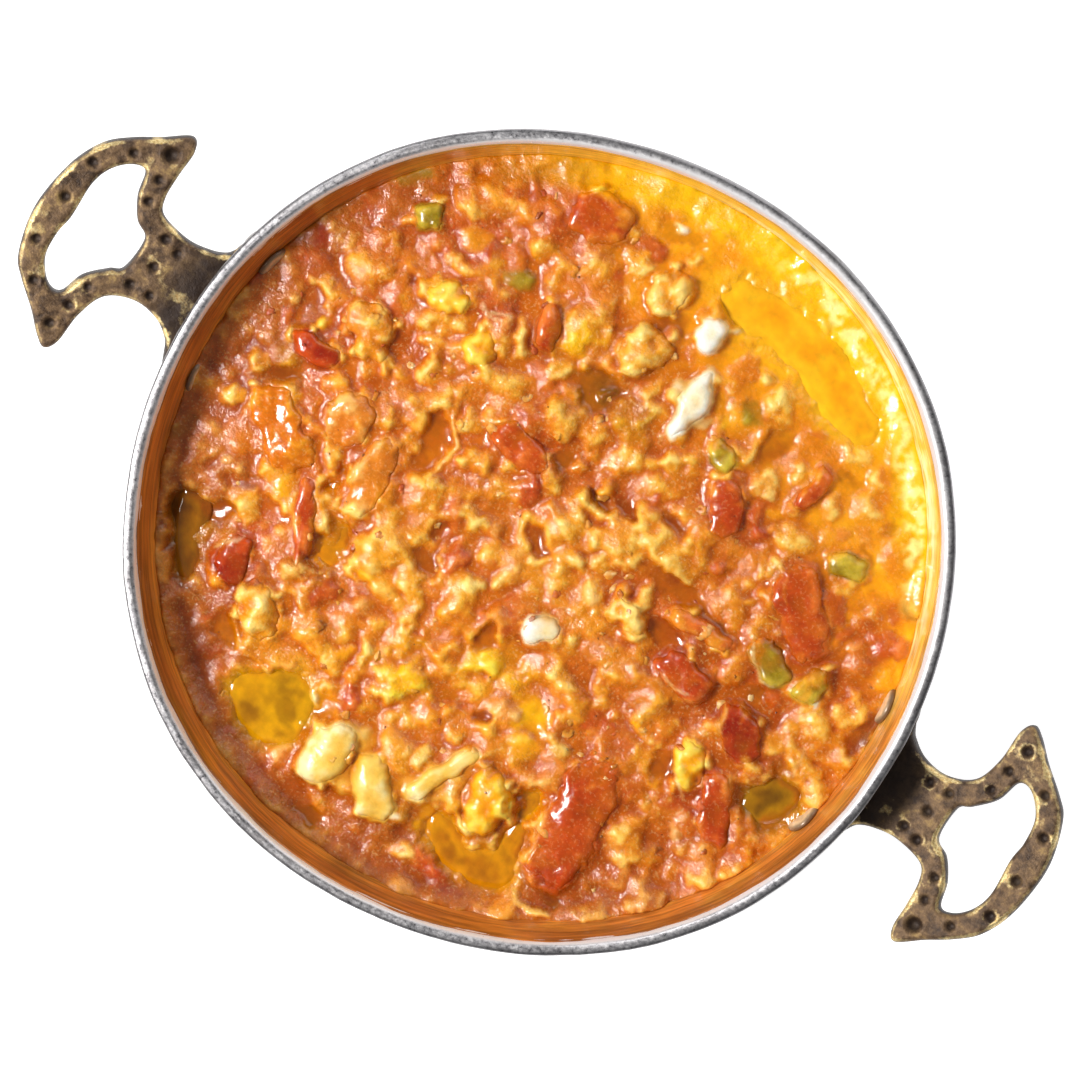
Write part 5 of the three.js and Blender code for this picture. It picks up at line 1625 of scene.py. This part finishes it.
    def crowd_chunks(self) -> None:
        """Lays scraps of curd over the edges of the larger pieces, so that they lie in the mass."""
        draw = np.random.default_rng(self.seed + 2)
        for chunk in CHUNKS:
            turn = math.radians(chunk.turn)
            for way in draw.uniform(0, 2 * math.pi, 4):
                u, v = 0.5 * chunk.size[0] * math.cos(way), 0.5 * chunk.size[1] * math.sin(way)
                size = draw.uniform(1.8, 3.8)
                kind = [Kind.CURD, Kind.CREAM, Kind.ORANGE][int(draw.integers(3))]
                self.stamp(Dab(kind, chunk.at[0] + u * math.cos(turn) - v * math.sin(turn),
                               chunk.at[1] + u * math.sin(turn) + v * math.cos(turn), size * 1.4, size,
                               draw.uniform(0, 180), 0.55 * chunk.rise + draw.uniform(0, 1.2)), 1.0, 0.85)

    def raise_ridges(self) -> None:
        """Raises the thin edges of skin and egg."""
        x, y = self.bent(self.x, self.y, 0.35)
        for ridge in RIDGES:
            away = ridge.away(x, y)
            body = np.clip(1 - (1.45 * away) ** 2, 0, 1)
            height = np.maximum(self.base + 0.45 * ridge.rise * body ** 0.5, self.z + 0.1 * body)
            self.z = np.where(body > 0, merge(self.z, height, 0.5), self.z)
            self.cover((slice(None), slice(None)), ridge.kind, 0.45 * smooth(0, 0.9, body))

    def add_curds(self) -> None:
        """Breaks the lumps into the rounded beads that egg sets in, 5.5, 3 and 1.5 mm across."""
        x, y = self.x + 0.7 * self.bend_x, self.y + 0.7 * self.bend_y
        for size, height, seed in ((5.5, 1.2, 81), (3.0, 0.65, 84), (1.5, 0.3, 87)):
            first, own = pebbles(x, y, size, seed)
            bead = smooth(0.95, 0.05, first) * (0.45 + 0.9 * own)
            self.z += self.bumps * height * (bead - 0.42) * (1 - 0.75 * self.liquid)
        self.z += (soften(self.z, 0.55 / self.step) - self.z) * 0.75

    def sink_pools(self) -> None:
        """Lowers the surface under the standing oil and tints it as the oil deepens."""
        flat = np.stack([(self.x + 0.5 * self.bend_x).ravel(), (self.y + 0.5 * self.bend_y).ravel()], -1)
        self.pool_share = np.zeros(self.x.shape)
        for pool in POOLS:
            loop = closed_curve(pool.outline, 90)
            near = (np.abs(flat - loop.mean(0)) < np.ptp(loop, axis=0) / 2 + 9).all(1)
            spots = flat[near]
            sign = np.where(inside(spots, loop), 1.0, -1.0)
            deep = np.full(len(flat), -9.0)
            deep[near] = sign * edge_distance(spots, [loop])
            deep = deep.reshape(self.x.shape)
            under = self.oil_level - 1.0 + 0.9 * np.clip(self.z - self.base - 0.5, -0.5, 3)
            deep = deep + 2.0 * self.wide + 0.8 * self.grain
            self.z += (np.minimum(self.z, under) - self.z) * smooth(-3.0, 1.6, deep)
            wash = smooth(-6.5, 0.0, deep)
            depth = smooth(0.1, 1.7, self.oil_level - self.z)
            shallow = np.broadcast_to(np.array(linear(pool.shallow)), self.place.shape)
            depths = smooth(-1, 4, deep) * depth
            tint = [blend(shallow, np.array(linear(pool.deep)),
                          np.clip(depths + low + 0.4 * self.wide, 0, 1)) for low in (0.25, 0.0, -0.3)]
            for grid, shade in zip(self.shades, tint):
                grid += (shade - grid) * (wash * smooth(1.4, 0.0, self.z - self.oil_level) * 0.9)[..., None]
            self.liquid = np.maximum(self.liquid, 0.9 * smooth(-1.5, 0.5, deep))
            self.pool_share = np.maximum(self.pool_share, smooth(-1.3, 1.0, deep))

    def pour_juice(self) -> None:
        """Fills the lowest places between the lumps with oily juice."""
        sun, crust = self.sun(self.x, self.y), self.crust(self.x, self.y)
        around = soften(self.z, 5 / self.step)
        juice = around - 0.75 + 0.35 * sun
        depth = np.clip(juice - self.z, 0, 3) * (1 - self.pool_share)
        wet = 1 - np.exp(-depth / 0.55)
        filled = np.where(self.z < juice, merge(self.z, juice - 0.2 * depth, 0.3), self.z)
        self.z += (filled - self.z) * (1 - self.pool_share)
        amber = np.broadcast_to(np.array(linear("CC7C14")), self.place.shape)
        amber = blend(amber, np.array(linear("FBAC18")), sun)
        amber = blend(amber, np.array(linear("A25A1E")), 0.8 * crust)
        deep = amber * np.array([0.68, 0.56, 0.4])
        shades = (deep, blend(amber, deep, smooth(0.6, 1.6, depth)), amber * 1.15)
        for grid, shade in zip(self.shades, shades):
            grid += (shade - grid) * (0.75 * wet)[..., None]
        self.liquid = np.maximum(self.liquid, 0.95 * wet)

    def paint(self) -> Array:
        """Colours the surface with painted light and shade: pale on the crowns of the curds, deep in the
        creases and hollows.
        """
        fine = (self.z - soften(self.z, 1.0 / self.step)) / 0.22
        middle = (self.z - soften(self.z, 2.8 / self.step)) / 0.9
        dry = 1 - self.liquid
        patch = cloud(self.place, 11, 73, 3)
        speck = cloud(self.place, 1.2, 74, 2)
        # Painted light and shade: the tone rises on the crowns of the relief and falls in its hollows, with
        # noise and broad patches varying it at random.
        tone = np.clip((0.25 * fine + 0.6 * middle) * dry + 0.2 * speck + 0.65 * patch
                       + 0.25 * self.wide - 0.12, -1, 1)
        shadow, body, light = self.shades
        colour = blend(blend(body, shadow, smooth(0, -1, tone)), light, smooth(0, 1, tone))
        # Orange sauce runs down off the crowns and gathers round their feet.
        proud = self.z - soften(self.z, 3.6 / self.step) + 0.45 * self.wide + 0.3 * self.grain
        coat = smooth(0.8, -0.6, proud) * dry * (1 - self.pool_share)
        sun, crust = self.sun(self.x, self.y), self.crust(self.x, self.y)
        ruddy = smooth(-0.35, 0.55, cloud(self.place, 8, 77, 3))
        sauce = np.broadcast_to(np.array(linear("E28E1E")), colour.shape)
        sauce = blend(sauce, np.array(linear("CC6A1C")), ruddy)
        sauce = blend(blend(sauce, np.array(linear("FCAC1E")), sun), np.array(linear("A45C2C")), crust)
        colour = blend(colour, 0.45 * sauce + 0.55 * body * np.array([0.96, 0.88, 0.7]), 0.75 * coat)
        # Painted highlight: dots of pale egg colour on the crowns, where light would catch.
        crown = smooth(0.2, 1.2, 0.4 * fine + 0.6 * middle + 0.8 * speck + 0.4 * patch - 0.2) * dry
        colour = blend(colour, np.array(linear("FFDE9A")), 0.5 * crown * smooth(0.4, 0.8, self.bumps))
        # Painted shade: creases and wide hollows in the relief are darkened and warmed, as shade falls in
        # them.
        crease = smooth(-0.1, -0.8, self.z - soften(self.z, 1.6 / self.step)) * dry
        hollow = smooth(0.1, -1.1, self.z - soften(self.z, 5 / self.step))
        hollow = hollow * (1 - self.pool_share) * (1 - 0.8 * sun)
        colour = blend(colour, colour * np.array([0.74, 0.52, 0.36]), 0.65 * crease)
        colour = blend(colour, colour * np.array([0.76, 0.56, 0.36]), 0.8 * hollow)
        colour = self.gild_shore(colour)
        return np.clip(colour, DARKEST, PALEST) ** np.array(self.GRADE)

    def gild_shore(self, colour: Array) -> Array:
        """Runs clear yellow oil along the wall on the yellow, oily side, with a broken pale line of painted
        highlight in it.

        Args:
            colour: The surface's colour so far.

        Returns:
            The colour with the band.
        """
        out = self.shore(self.x, self.y) + 0.012 * self.wide
        way = np.degrees(np.arctan2(self.y, self.x))
        band = smooth(0.895, 0.945, out) * smooth(24, 42, way) * smooth(138, 104, way)
        colour = blend(colour, np.array(linear("FFCC0A")), 0.85 * band)
        # Painted highlight: a broken pale line close to the wall.
        pale = smooth(0.925, 0.95, out) * smooth(0.998, 0.98, out)
        pale = pale * smooth(20, 34, way) * smooth(92, 74, way)
        broken = smooth(-0.35, 0.25, cloud(self.place, 3.2, 79, 3))
        return blend(colour, np.array(linear("FFF8B8")), 0.9 * pale * broken)

    def open_beds(self) -> None:
        """Lowers the mass where a larger piece lies, so that the piece shows and not the mass."""
        self.bed = self.z.copy()
        for chunk in CHUNKS:
            part = self.window(chunk.footprint())
            x, y = self.x[part] + 0.55 * self.bend_x[part], self.y[part] + 0.55 * self.bend_y[part]
            q = chunk.footprint().reach(x, y, 0.04 * self.grain[part]) + 0.05 * self.grain[part]
            self.bed[part] = np.minimum(self.bed[part], self.z[part] - 0.7 * smooth(0.93, 0.8, q))

    def height(self, x: Array, y: Array) -> Array:
        """Height of the surface at places."""
        return self.pick(self.z, x, y)

    def looks(self, x: Array, y: Array) -> tuple[Array, Array]:
        """Colour and traits of the surface at places."""
        traits = np.stack([self.pick(g, x, y) for g in (self.liquid, self.rough, self.bumps)], -1)
        return self.pick(self.colour, x, y), traits


@dataclass
class Menemen:
    """The mass of curds, its larger pieces, its oil and its crumbs."""
    food: FoodField
    spacing: float = 0.475

    def build(self) -> None:
        """Builds everything that is eaten."""
        self.build_mass()
        fleshy = WetFood("cooked_tomato", 1.2, 0.25, 0.28, 0.8, 0.9, 0.05, 0.14).build()
        eggy = WetFood("set_egg", 2.0, 0.4, 0.36, 0.75, 0.8, 0.06, 0.08).build()
        green = WetFood("cooked_pepper", 1.4, 0.3, 0.3, 0.7, 0.9, 0.05, 0.16).build()
        finishes = {"tomato": fleshy, "egg": eggy, "pepper": green}
        for chunk in CHUNKS:
            family = chunk.name.split("_")[0]
            self.build_chunk(chunk, finishes[family], family)
        oil = WetFood("clear_oil", 2.5, 0.2, 0.16, 0.8, 1.6, 0.03, 0.14).build()
        for pool in POOLS:
            self.build_pool(pool, oil)
        self.build_crumbs("egg_crumbs", Kind.CREAM, 120, (0.5, 1.3), 11, eggy)
        self.build_crumbs("tomato_crumbs", Kind.TOMATO, 40, (0.45, 1.1), 12, fleshy)
        self.build_crumbs("pepper_specks", Kind.BROWN, 50, (0.12, 0.3), 13, green)

    def build_mass(self) -> None:
        """Builds the mass down to the pan's floor in place of the plain one."""
        shape, food = self.food.shape, self.food
        rings_count = int(food.edge(0.0) / self.spacing)
        places: list[Array] = [np.array([[0, 0, float(food.pick(food.bed, np.zeros(1), np.zeros(1))[0])]])]
        rings: list[list[int]] = [[0]]
        total = 1
        for k in range(1, rings_count + 1):
            turns = 2 * math.pi * np.arange(6 * k) / (6 * k)
            reach = (food.edge(turns) - 0.05) * k / rings_count
            x, y = reach * np.cos(turns), reach * np.sin(turns)
            places.append(np.column_stack([x, y, food.pick(food.bed, x, y)]))
            rings.append(list(range(total, total + 6 * k)))
            total += 6 * k
        top_count, sides = total, 160
        turns = 2 * math.pi * np.arange(sides) / sides
        walls = [(shape.inner(z) - 0.1, z) for z in (food.level - 2, 20, 13)]
        walls += [(r - 0.1, z) for r, z in reversed(shape.corner_arc(shape.corner - shape.wall - 0.1, 4))]
        for radius, z in walls:
            reach = radius + shape.swell(radius, turns, z)
            places.append(np.column_stack([reach * np.cos(turns), reach * np.sin(turns),
                                           np.full(sides, z)]))
            rings.append(list(range(total, total + sides)))
            total += sides
        places.append(np.array([[0, 0, walls[-1][1]]]))
        rings.append([total])
        full = np.concatenate(places)
        tint, traits = food.looks(full[:, 0], full[:, 1])
        tint[top_count:] = linear("B8702C")
        faces = [f[::-1] for f in loft(rings)]
        finish = WetFood("oily_curds", 1.6, 0.35, 0.36, 0.8, 0.8, 0.07, 0.1).build()
        piece = make_piece("menemen_curds", full, faces, finish, tint, traits)
        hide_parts("menemen")

    def build_chunk(self, chunk: Chunk, material: bpy.types.Material, family: str) -> None:
        """Builds one larger piece in place of its plain one.

        Args:
            chunk: What and where.
            material: Its finish.
            family: tomato, egg or pepper.
        """
        food, (length, width, thick) = self.food, chunk.size
        rows = max(8, int(width / 2 / 0.36))
        count = max(30, int(1.6 * (length + width) / 0.42))
        turns = 2 * math.pi * np.arange(count) / count
        unit = np.stack([np.cos(turns), np.sin(turns)], -1)
        unit /= ((np.abs(unit) ** chunk.square).sum(1) ** (1 / chunk.square))[:, None]
        turn = math.radians(chunk.turn)
        share = math.hypot(*chunk.at) / food.shape.rim_radius
        top_z = food.level + food.crown * (1 - share ** 2) + chunk.rise
        sheets, rings, start = [], [], 0
        shares = np.linspace(0, 1.06, rows + 1)[1:]
        for side in (1, -1):
            order = [0.0, *shares] if side > 0 else [*shares[:-1][::-1], 0.0]
            for share in order:
                u, v = (unit * share if share else np.zeros((1, 2))).T
                u, v = u * length / 2, v * width / 2
                x = chunk.at[0] + u * math.cos(turn) - v * math.sin(turn)
                y = chunk.at[1] + u * math.sin(turn) + v * math.cos(turn)
                q = food.chunk_reach(chunk, x, y)
                if side > 0:
                    ragged = q + 0.05 * food.pick(food.grain, x, y)
                    z = food.height(x, y) + 0.12 - 1.7 * smooth(0.82, 1.06, ragged)
                else:
                    z = top_z - thick / 2 - thick / 2 * math.sqrt(max(1 - (share / 1.06) ** 3, 0)) - 0.4
                    z = np.minimum(z, food.height(x, y) - 1.0)
                sheets.append(np.column_stack([x, y, np.broadcast_to(z, x.shape)]))
                rings.append(list(range(start, start + len(x))))
                start += len(x)
        full = np.concatenate(sheets)
        tint, traits = food.looks(full[:, 0], full[:, 1])
        if family == "tomato":
            traits[:, 0] = np.maximum(traits[:, 0], 0.3)
        faces = [f[::-1] for f in loft(rings)]
        piece = make_piece(f"{chunk.name}_cooked", full, faces, material, tint, traits)
        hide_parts(chunk.name)

    def build_pool(self, pool: Pool, material: bpy.types.Material) -> None:
        """Builds the oil standing in one hollow, in place of its plain solid."""
        food = self.food
        loop = closed_curve(pool.outline, 110)
        low, high = loop.min(0) - 2, loop.max(0) + 2
        gx, gy = np.meshgrid(np.arange(low[0], high[0], 0.6), np.arange(low[1], high[1], 0.6))
        ahead = np.roll(loop, -1, axis=0) - np.roll(loop, 1, axis=0)
        normal = np.stack([ahead[:, 1], -ahead[:, 0]], -1) / np.hypot(*ahead.T)[:, None]
        turning = sense(loop)
        bank = loop + normal * turning * 2.2
        spots = np.stack([gx.ravel(), gy.ravel()], -1)
        spots = spots[inside(spots, bank)]
        spots = spots[edge_distance(spots, [bank]) > 0.45]
        n = len(bank)
        points, _, triangles, *_ = delaunay_2d_cdt([Vector(p) for p in np.concatenate([bank, spots])],
                                                   [(i, (i + 1) % n) for i in range(n)], [], 0, 1e-5)
        flat = np.array([tuple(p) for p in points])
        triangles = np.array(triangles)
        triangles = triangles[inside(flat[triangles].mean(1), bank)]
        triangles = anticlockwise(flat, triangles)
        count = len(flat)
        swell = 0.05 * cloud(np.column_stack([flat, np.zeros(count)]), 9, 93, 2)
        away = edge_distance(flat, [bank])
        top = np.column_stack([flat, food.oil_level + swell - 0.9 * smooth(2.6, 0.0, away)])
        bottom = np.column_stack([flat, np.full(count, food.oil_level - 1.6)])
        rim = away < 1e-4
        bottom[rim, 2] = top[rim, 2] - 0.3
        outer = np.flatnonzero(rim)
        order = outer[np.argsort([int(np.argmin(np.hypot(*(bank - flat[i]).T))) for i in outer])]
        faces = [tuple(t) for t in triangles] + [tuple(t[::-1] + count) for t in triangles]
        wall = list(zip(order, np.roll(order, -1)))
        faces += [(b, a, a + count, b + count) if turning > 0 else (a, b, b + count, a + count)
                  for a, b in wall]
        tint, traits = food.looks(flat[:, 0], flat[:, 1])
        traits[:, 0] = 0.95
        traits[:, 2] = 0
        piece = make_piece(f"{pool.name}_surface", np.concatenate([top, bottom]), faces, material,
                           np.concatenate([tint, tint]), np.concatenate([traits, traits]))
        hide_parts(pool.name)

    def build_crumbs(self, name: str, kind: Kind, count: int, sizes: tuple[float, float], seed: int,
                     material: bpy.types.Material) -> None:
        """Scatters small loose lumps over the surface as one piece.

        Args:
            name: The piece's name.
            kind: What they are.
            count: How many.
            sizes: Smallest and largest radius in millimetres.
            seed: Which draw.
            material: Their finish.
        """
        food = self.food
        draw = np.random.default_rng(seed)
        coarse = sizes[1] > 1
        ball = icosphere(2 if coarse else 1)
        places, faces, tints = [], [], []
        total = 0
        while len(places) < count:
            turn, reach = draw.uniform(0, 2 * math.pi), 80 * math.sqrt(draw.uniform())
            x, y = reach * math.cos(turn), reach * math.sin(turn)
            here = np.array([x]), np.array([y])
            crust, sun = float(food.crust(*here)[0]), float(food.sun(*here)[0])
            if food.pick(food.pool_share, *here)[0] > 0.2 or draw.uniform() < 1.3 * sun:
                continue
            if kind is Kind.CREAM and draw.uniform() < 0.8 * crust:
                continue
            size = draw.uniform(*sizes)
            stretch = draw.uniform(0.6, 1.6, 3) * np.array([1.1, 1.0, 0.7])
            lump = ball[0] * stretch * size
            lump *= 1 + 0.3 * cloud(ball[0] * 1.4 + seed * 9 + total, 1.0, seed, 2)[:, None]
            spin = draw.uniform(0, 2 * math.pi)
            rx = lump[:, 0] * math.cos(spin) - lump[:, 1] * math.sin(spin) + x
            ry = lump[:, 0] * math.sin(spin) + lump[:, 1] * math.cos(spin) + y
            sit = float(food.height(*here)[0]) - (0.65 if coarse else 0.0) * size
            places.append(np.column_stack([rx, ry, lump[:, 2] + sit]))
            faces += [tuple(i + total for i in f) for f in ball[1]]
            total += len(lump)
            tone = np.clip(cloud(places[-1], 2.0, seed + 3, 2) + draw.uniform(-0.5, 0.4), -1, 1)
            sauce = smooth(0.5, -0.2, lump[:, 2] / size) * 0.9 if coarse else np.full(len(lump), 0.1)
            tints.append(blend(FLESH[kind].colour(tone), food.pick(food.colour, rx, ry),
                               np.maximum(sauce, 0.35)))
        tint = np.clip(np.concatenate(tints), DARKEST, PALEST)
        piece = make_piece(name, np.concatenate(places), faces, material, tint,
                           np.tile([0.2, 1.0, 0.3], (total, 1)))


def icosphere(levels: int) -> tuple[Array, list[tuple[int, int, int]]]:
    """A ball of radius 1 made by splitting an icosahedron.

    Args:
        levels: How often each face is split in four.

    Returns:
        Vertices and triangles.
    """
    g = (1 + math.sqrt(5)) / 2
    points = [(-1, g, 0), (1, g, 0), (-1, -g, 0), (1, -g, 0), (0, -1, g), (0, 1, g), (0, -1, -g),
              (0, 1, -g), (g, 0, -1), (g, 0, 1), (-g, 0, -1), (-g, 0, 1)]
    faces = [(0, 11, 5), (0, 5, 1), (0, 1, 7), (0, 7, 10), (0, 10, 11), (1, 5, 9), (5, 11, 4),
             (11, 10, 2), (10, 7, 6), (7, 1, 8), (3, 9, 4), (3, 4, 2), (3, 2, 6), (3, 6, 8), (3, 8, 9),
             (4, 9, 5), (2, 4, 11), (6, 2, 10), (8, 6, 7), (9, 8, 1)]
    for _ in range(levels):
        halves: dict[tuple[int, int], int] = {}

        def half(a: int, b: int) -> int:
            """Number of the point half-way between two."""
            key = (min(a, b), max(a, b))
            if key not in halves:
                halves[key] = len(points)
                points.append(tuple((p + q) / 2 for p, q in zip(points[a], points[b])))
            return halves[key]

        split = []
        for a, b, c in faces:
            ab, bc, ca = half(a, b), half(b, c), half(c, a)
            split += [(a, ab, ca), (b, bc, ab), (c, ca, bc), (ab, bc, ca)]
        faces = split
    ball = np.array(points, float)
    return ball / np.linalg.norm(ball, axis=1)[:, None], faces


# ---------------------------------------------------------------- the studio
@dataclass
class Studio:
    """A white floor, soft light from the left and a camera almost straight above."""
    distance: float = 800
    tilt: float = math.radians(9.5)
    tilt_toward: float = math.radians(93)
    roll: float = math.radians(35)
    lens: float = 124.1
    nudge: tuple[float, float] = (1.16, 2.02)
    rim_height: float = 42

    def axes(self) -> tuple[Vector, Vector, Vector]:
        """The picture's right and up directions, and the direction towards the camera."""
        away = Vector((math.cos(self.tilt_toward), math.sin(self.tilt_toward), 0))
        hinge = Vector((0, 0, 1)).cross(away)
        tip = Matrix.Rotation(self.tilt, 3, hinge)
        right = tip @ Vector((math.cos(self.roll), math.sin(self.roll), 0))
        up = tip @ Vector((-math.sin(self.roll), math.cos(self.roll), 0))
        return right, up, tip @ Vector((0, 0, 1))

    def build(self) -> None:
        """Builds the camera, the floor, the lights and the surroundings."""
        scene = bpy.context.scene
        right, up, back = self.axes()
        camera = bpy.data.objects.new("camera", bpy.data.cameras.new("camera"))
        scene.collection.objects.link(camera)
        camera.data.lens = self.lens
        camera.data.clip_end = 10
        place = Vector((0, 0, self.rim_height)) + back * self.distance
        place = place + right * self.nudge[0] + up * self.nudge[1]
        pose = Matrix((right, up, back)).transposed().to_4x4()
        pose.translation = place * MM
        camera.matrix_world = pose
        scene.camera = camera
        self.build_floor()
        # Directions are given in the picture: right, up and towards the eye.
        self.add_light("window", (-0.62, -0.1, 0.62), 0.9, 0.22, 8.4, (1.0, 0.98, 0.95), right, up, back)
        self.add_light("sky_panel", (0.6, 0.7, 0.6), 1.1, 0.9, 3.0, (1.0, 0.99, 0.97), right, up, back)
        self.add_light("glint", (-0.45, 0.55, 0.8), 1.0, 0.05, 1.5, (1.0, 1.0, 1.0), right, up, back)
        world = bpy.data.worlds.new("white_room")
        world.use_nodes = True
        world.node_tree.nodes["Background"].inputs["Color"].default_value = (1, 1, 1, 1)
        world.node_tree.nodes["Background"].inputs["Strength"].default_value = 0.18
        scene.world = world
        scene.view_settings.view_transform = "Standard"
        scene.view_settings.look = "None"

    def add_light(self, name: str, toward: tuple[float, float, float], distance: float, size: float,
                  power: float, colour: Colour, right: Vector, up: Vector, back: Vector) -> None:
        """Adds a square soft light aimed at the dish.

        Args:
            name: Its name.
            toward: Its direction from the dish, in the picture's right, up and eye directions.
            distance: Metres from the dish.
            size: Its side in metres.
            power: Watts.
            colour: Linear colour.
            right, up, back: The picture's directions.
        """
        light = bpy.data.lights.new(name, "AREA")
        light.size = size
        light.energy = power
        light.color = colour
        lamp = bpy.data.objects.new(name, light)
        direction = (right * toward[0] + up * toward[1] + back * toward[2]).normalized()
        lamp.location = direction * distance
        lamp.rotation_euler = direction.to_track_quat("Z", "Y").to_euler()
        bpy.context.scene.collection.objects.link(lamp)

    def build_floor(self) -> None:
        """Builds the white table, a little lit from within so that it stays white under the dish."""
        material, tree, output = new_material("white_table")
        surface = add_node(tree, "ShaderNodeBsdfPrincipled",
                           {"Base Color": (0.6, 0.6, 0.6, 1), "Roughness": 0.9,
                            "Emission Color": (1, 1, 1, 1), "Emission Strength": 0.9})
        tree.links.new(surface.outputs[0], output.inputs["Surface"])
        mesh = bpy.data.meshes.new("table")
        half = 3.0
        corners = [(-half, -half, 0), (half, -half, 0), (half, half, 0), (-half, half, 0)]
        mesh.from_pydata(corners, [], [(0, 1, 2, 3)])
        mesh.materials.append(material)
        table = bpy.data.objects.new("table", mesh)
        table.location.z = -0.0002
        bpy.context.scene.collection.objects.link(table)


def main() -> None:
    """Builds the dish piece by piece and reports each one."""
    logging.basicConfig(level=logging.INFO, format="%(name)s %(message)s")
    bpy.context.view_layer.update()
    Studio().build()
    shape = PanShape()
    Pan(shape).build()
    handles = [Handle(shape, "right", 0.0, math.radians(HANDLE_SKEW_DEG)),
               Handle(shape, "left", math.pi, math.radians(-HANDLE_SKEW_DEG))]
    stained = HammeredRivet().build()
    for handle in handles:
        handle.build()
        for i, way in enumerate((-1, 1)):
            angle = handle.turn + math.radians(RIVET_SHIFT_DEG + way * RIVET_SPREAD_DEG)
            Rivet(shape, f"{handle.name}_{i + 1}", angle).build(stained)
    Menemen(FoodField(shape)).build()


if __name__ == "__main__":
    main()
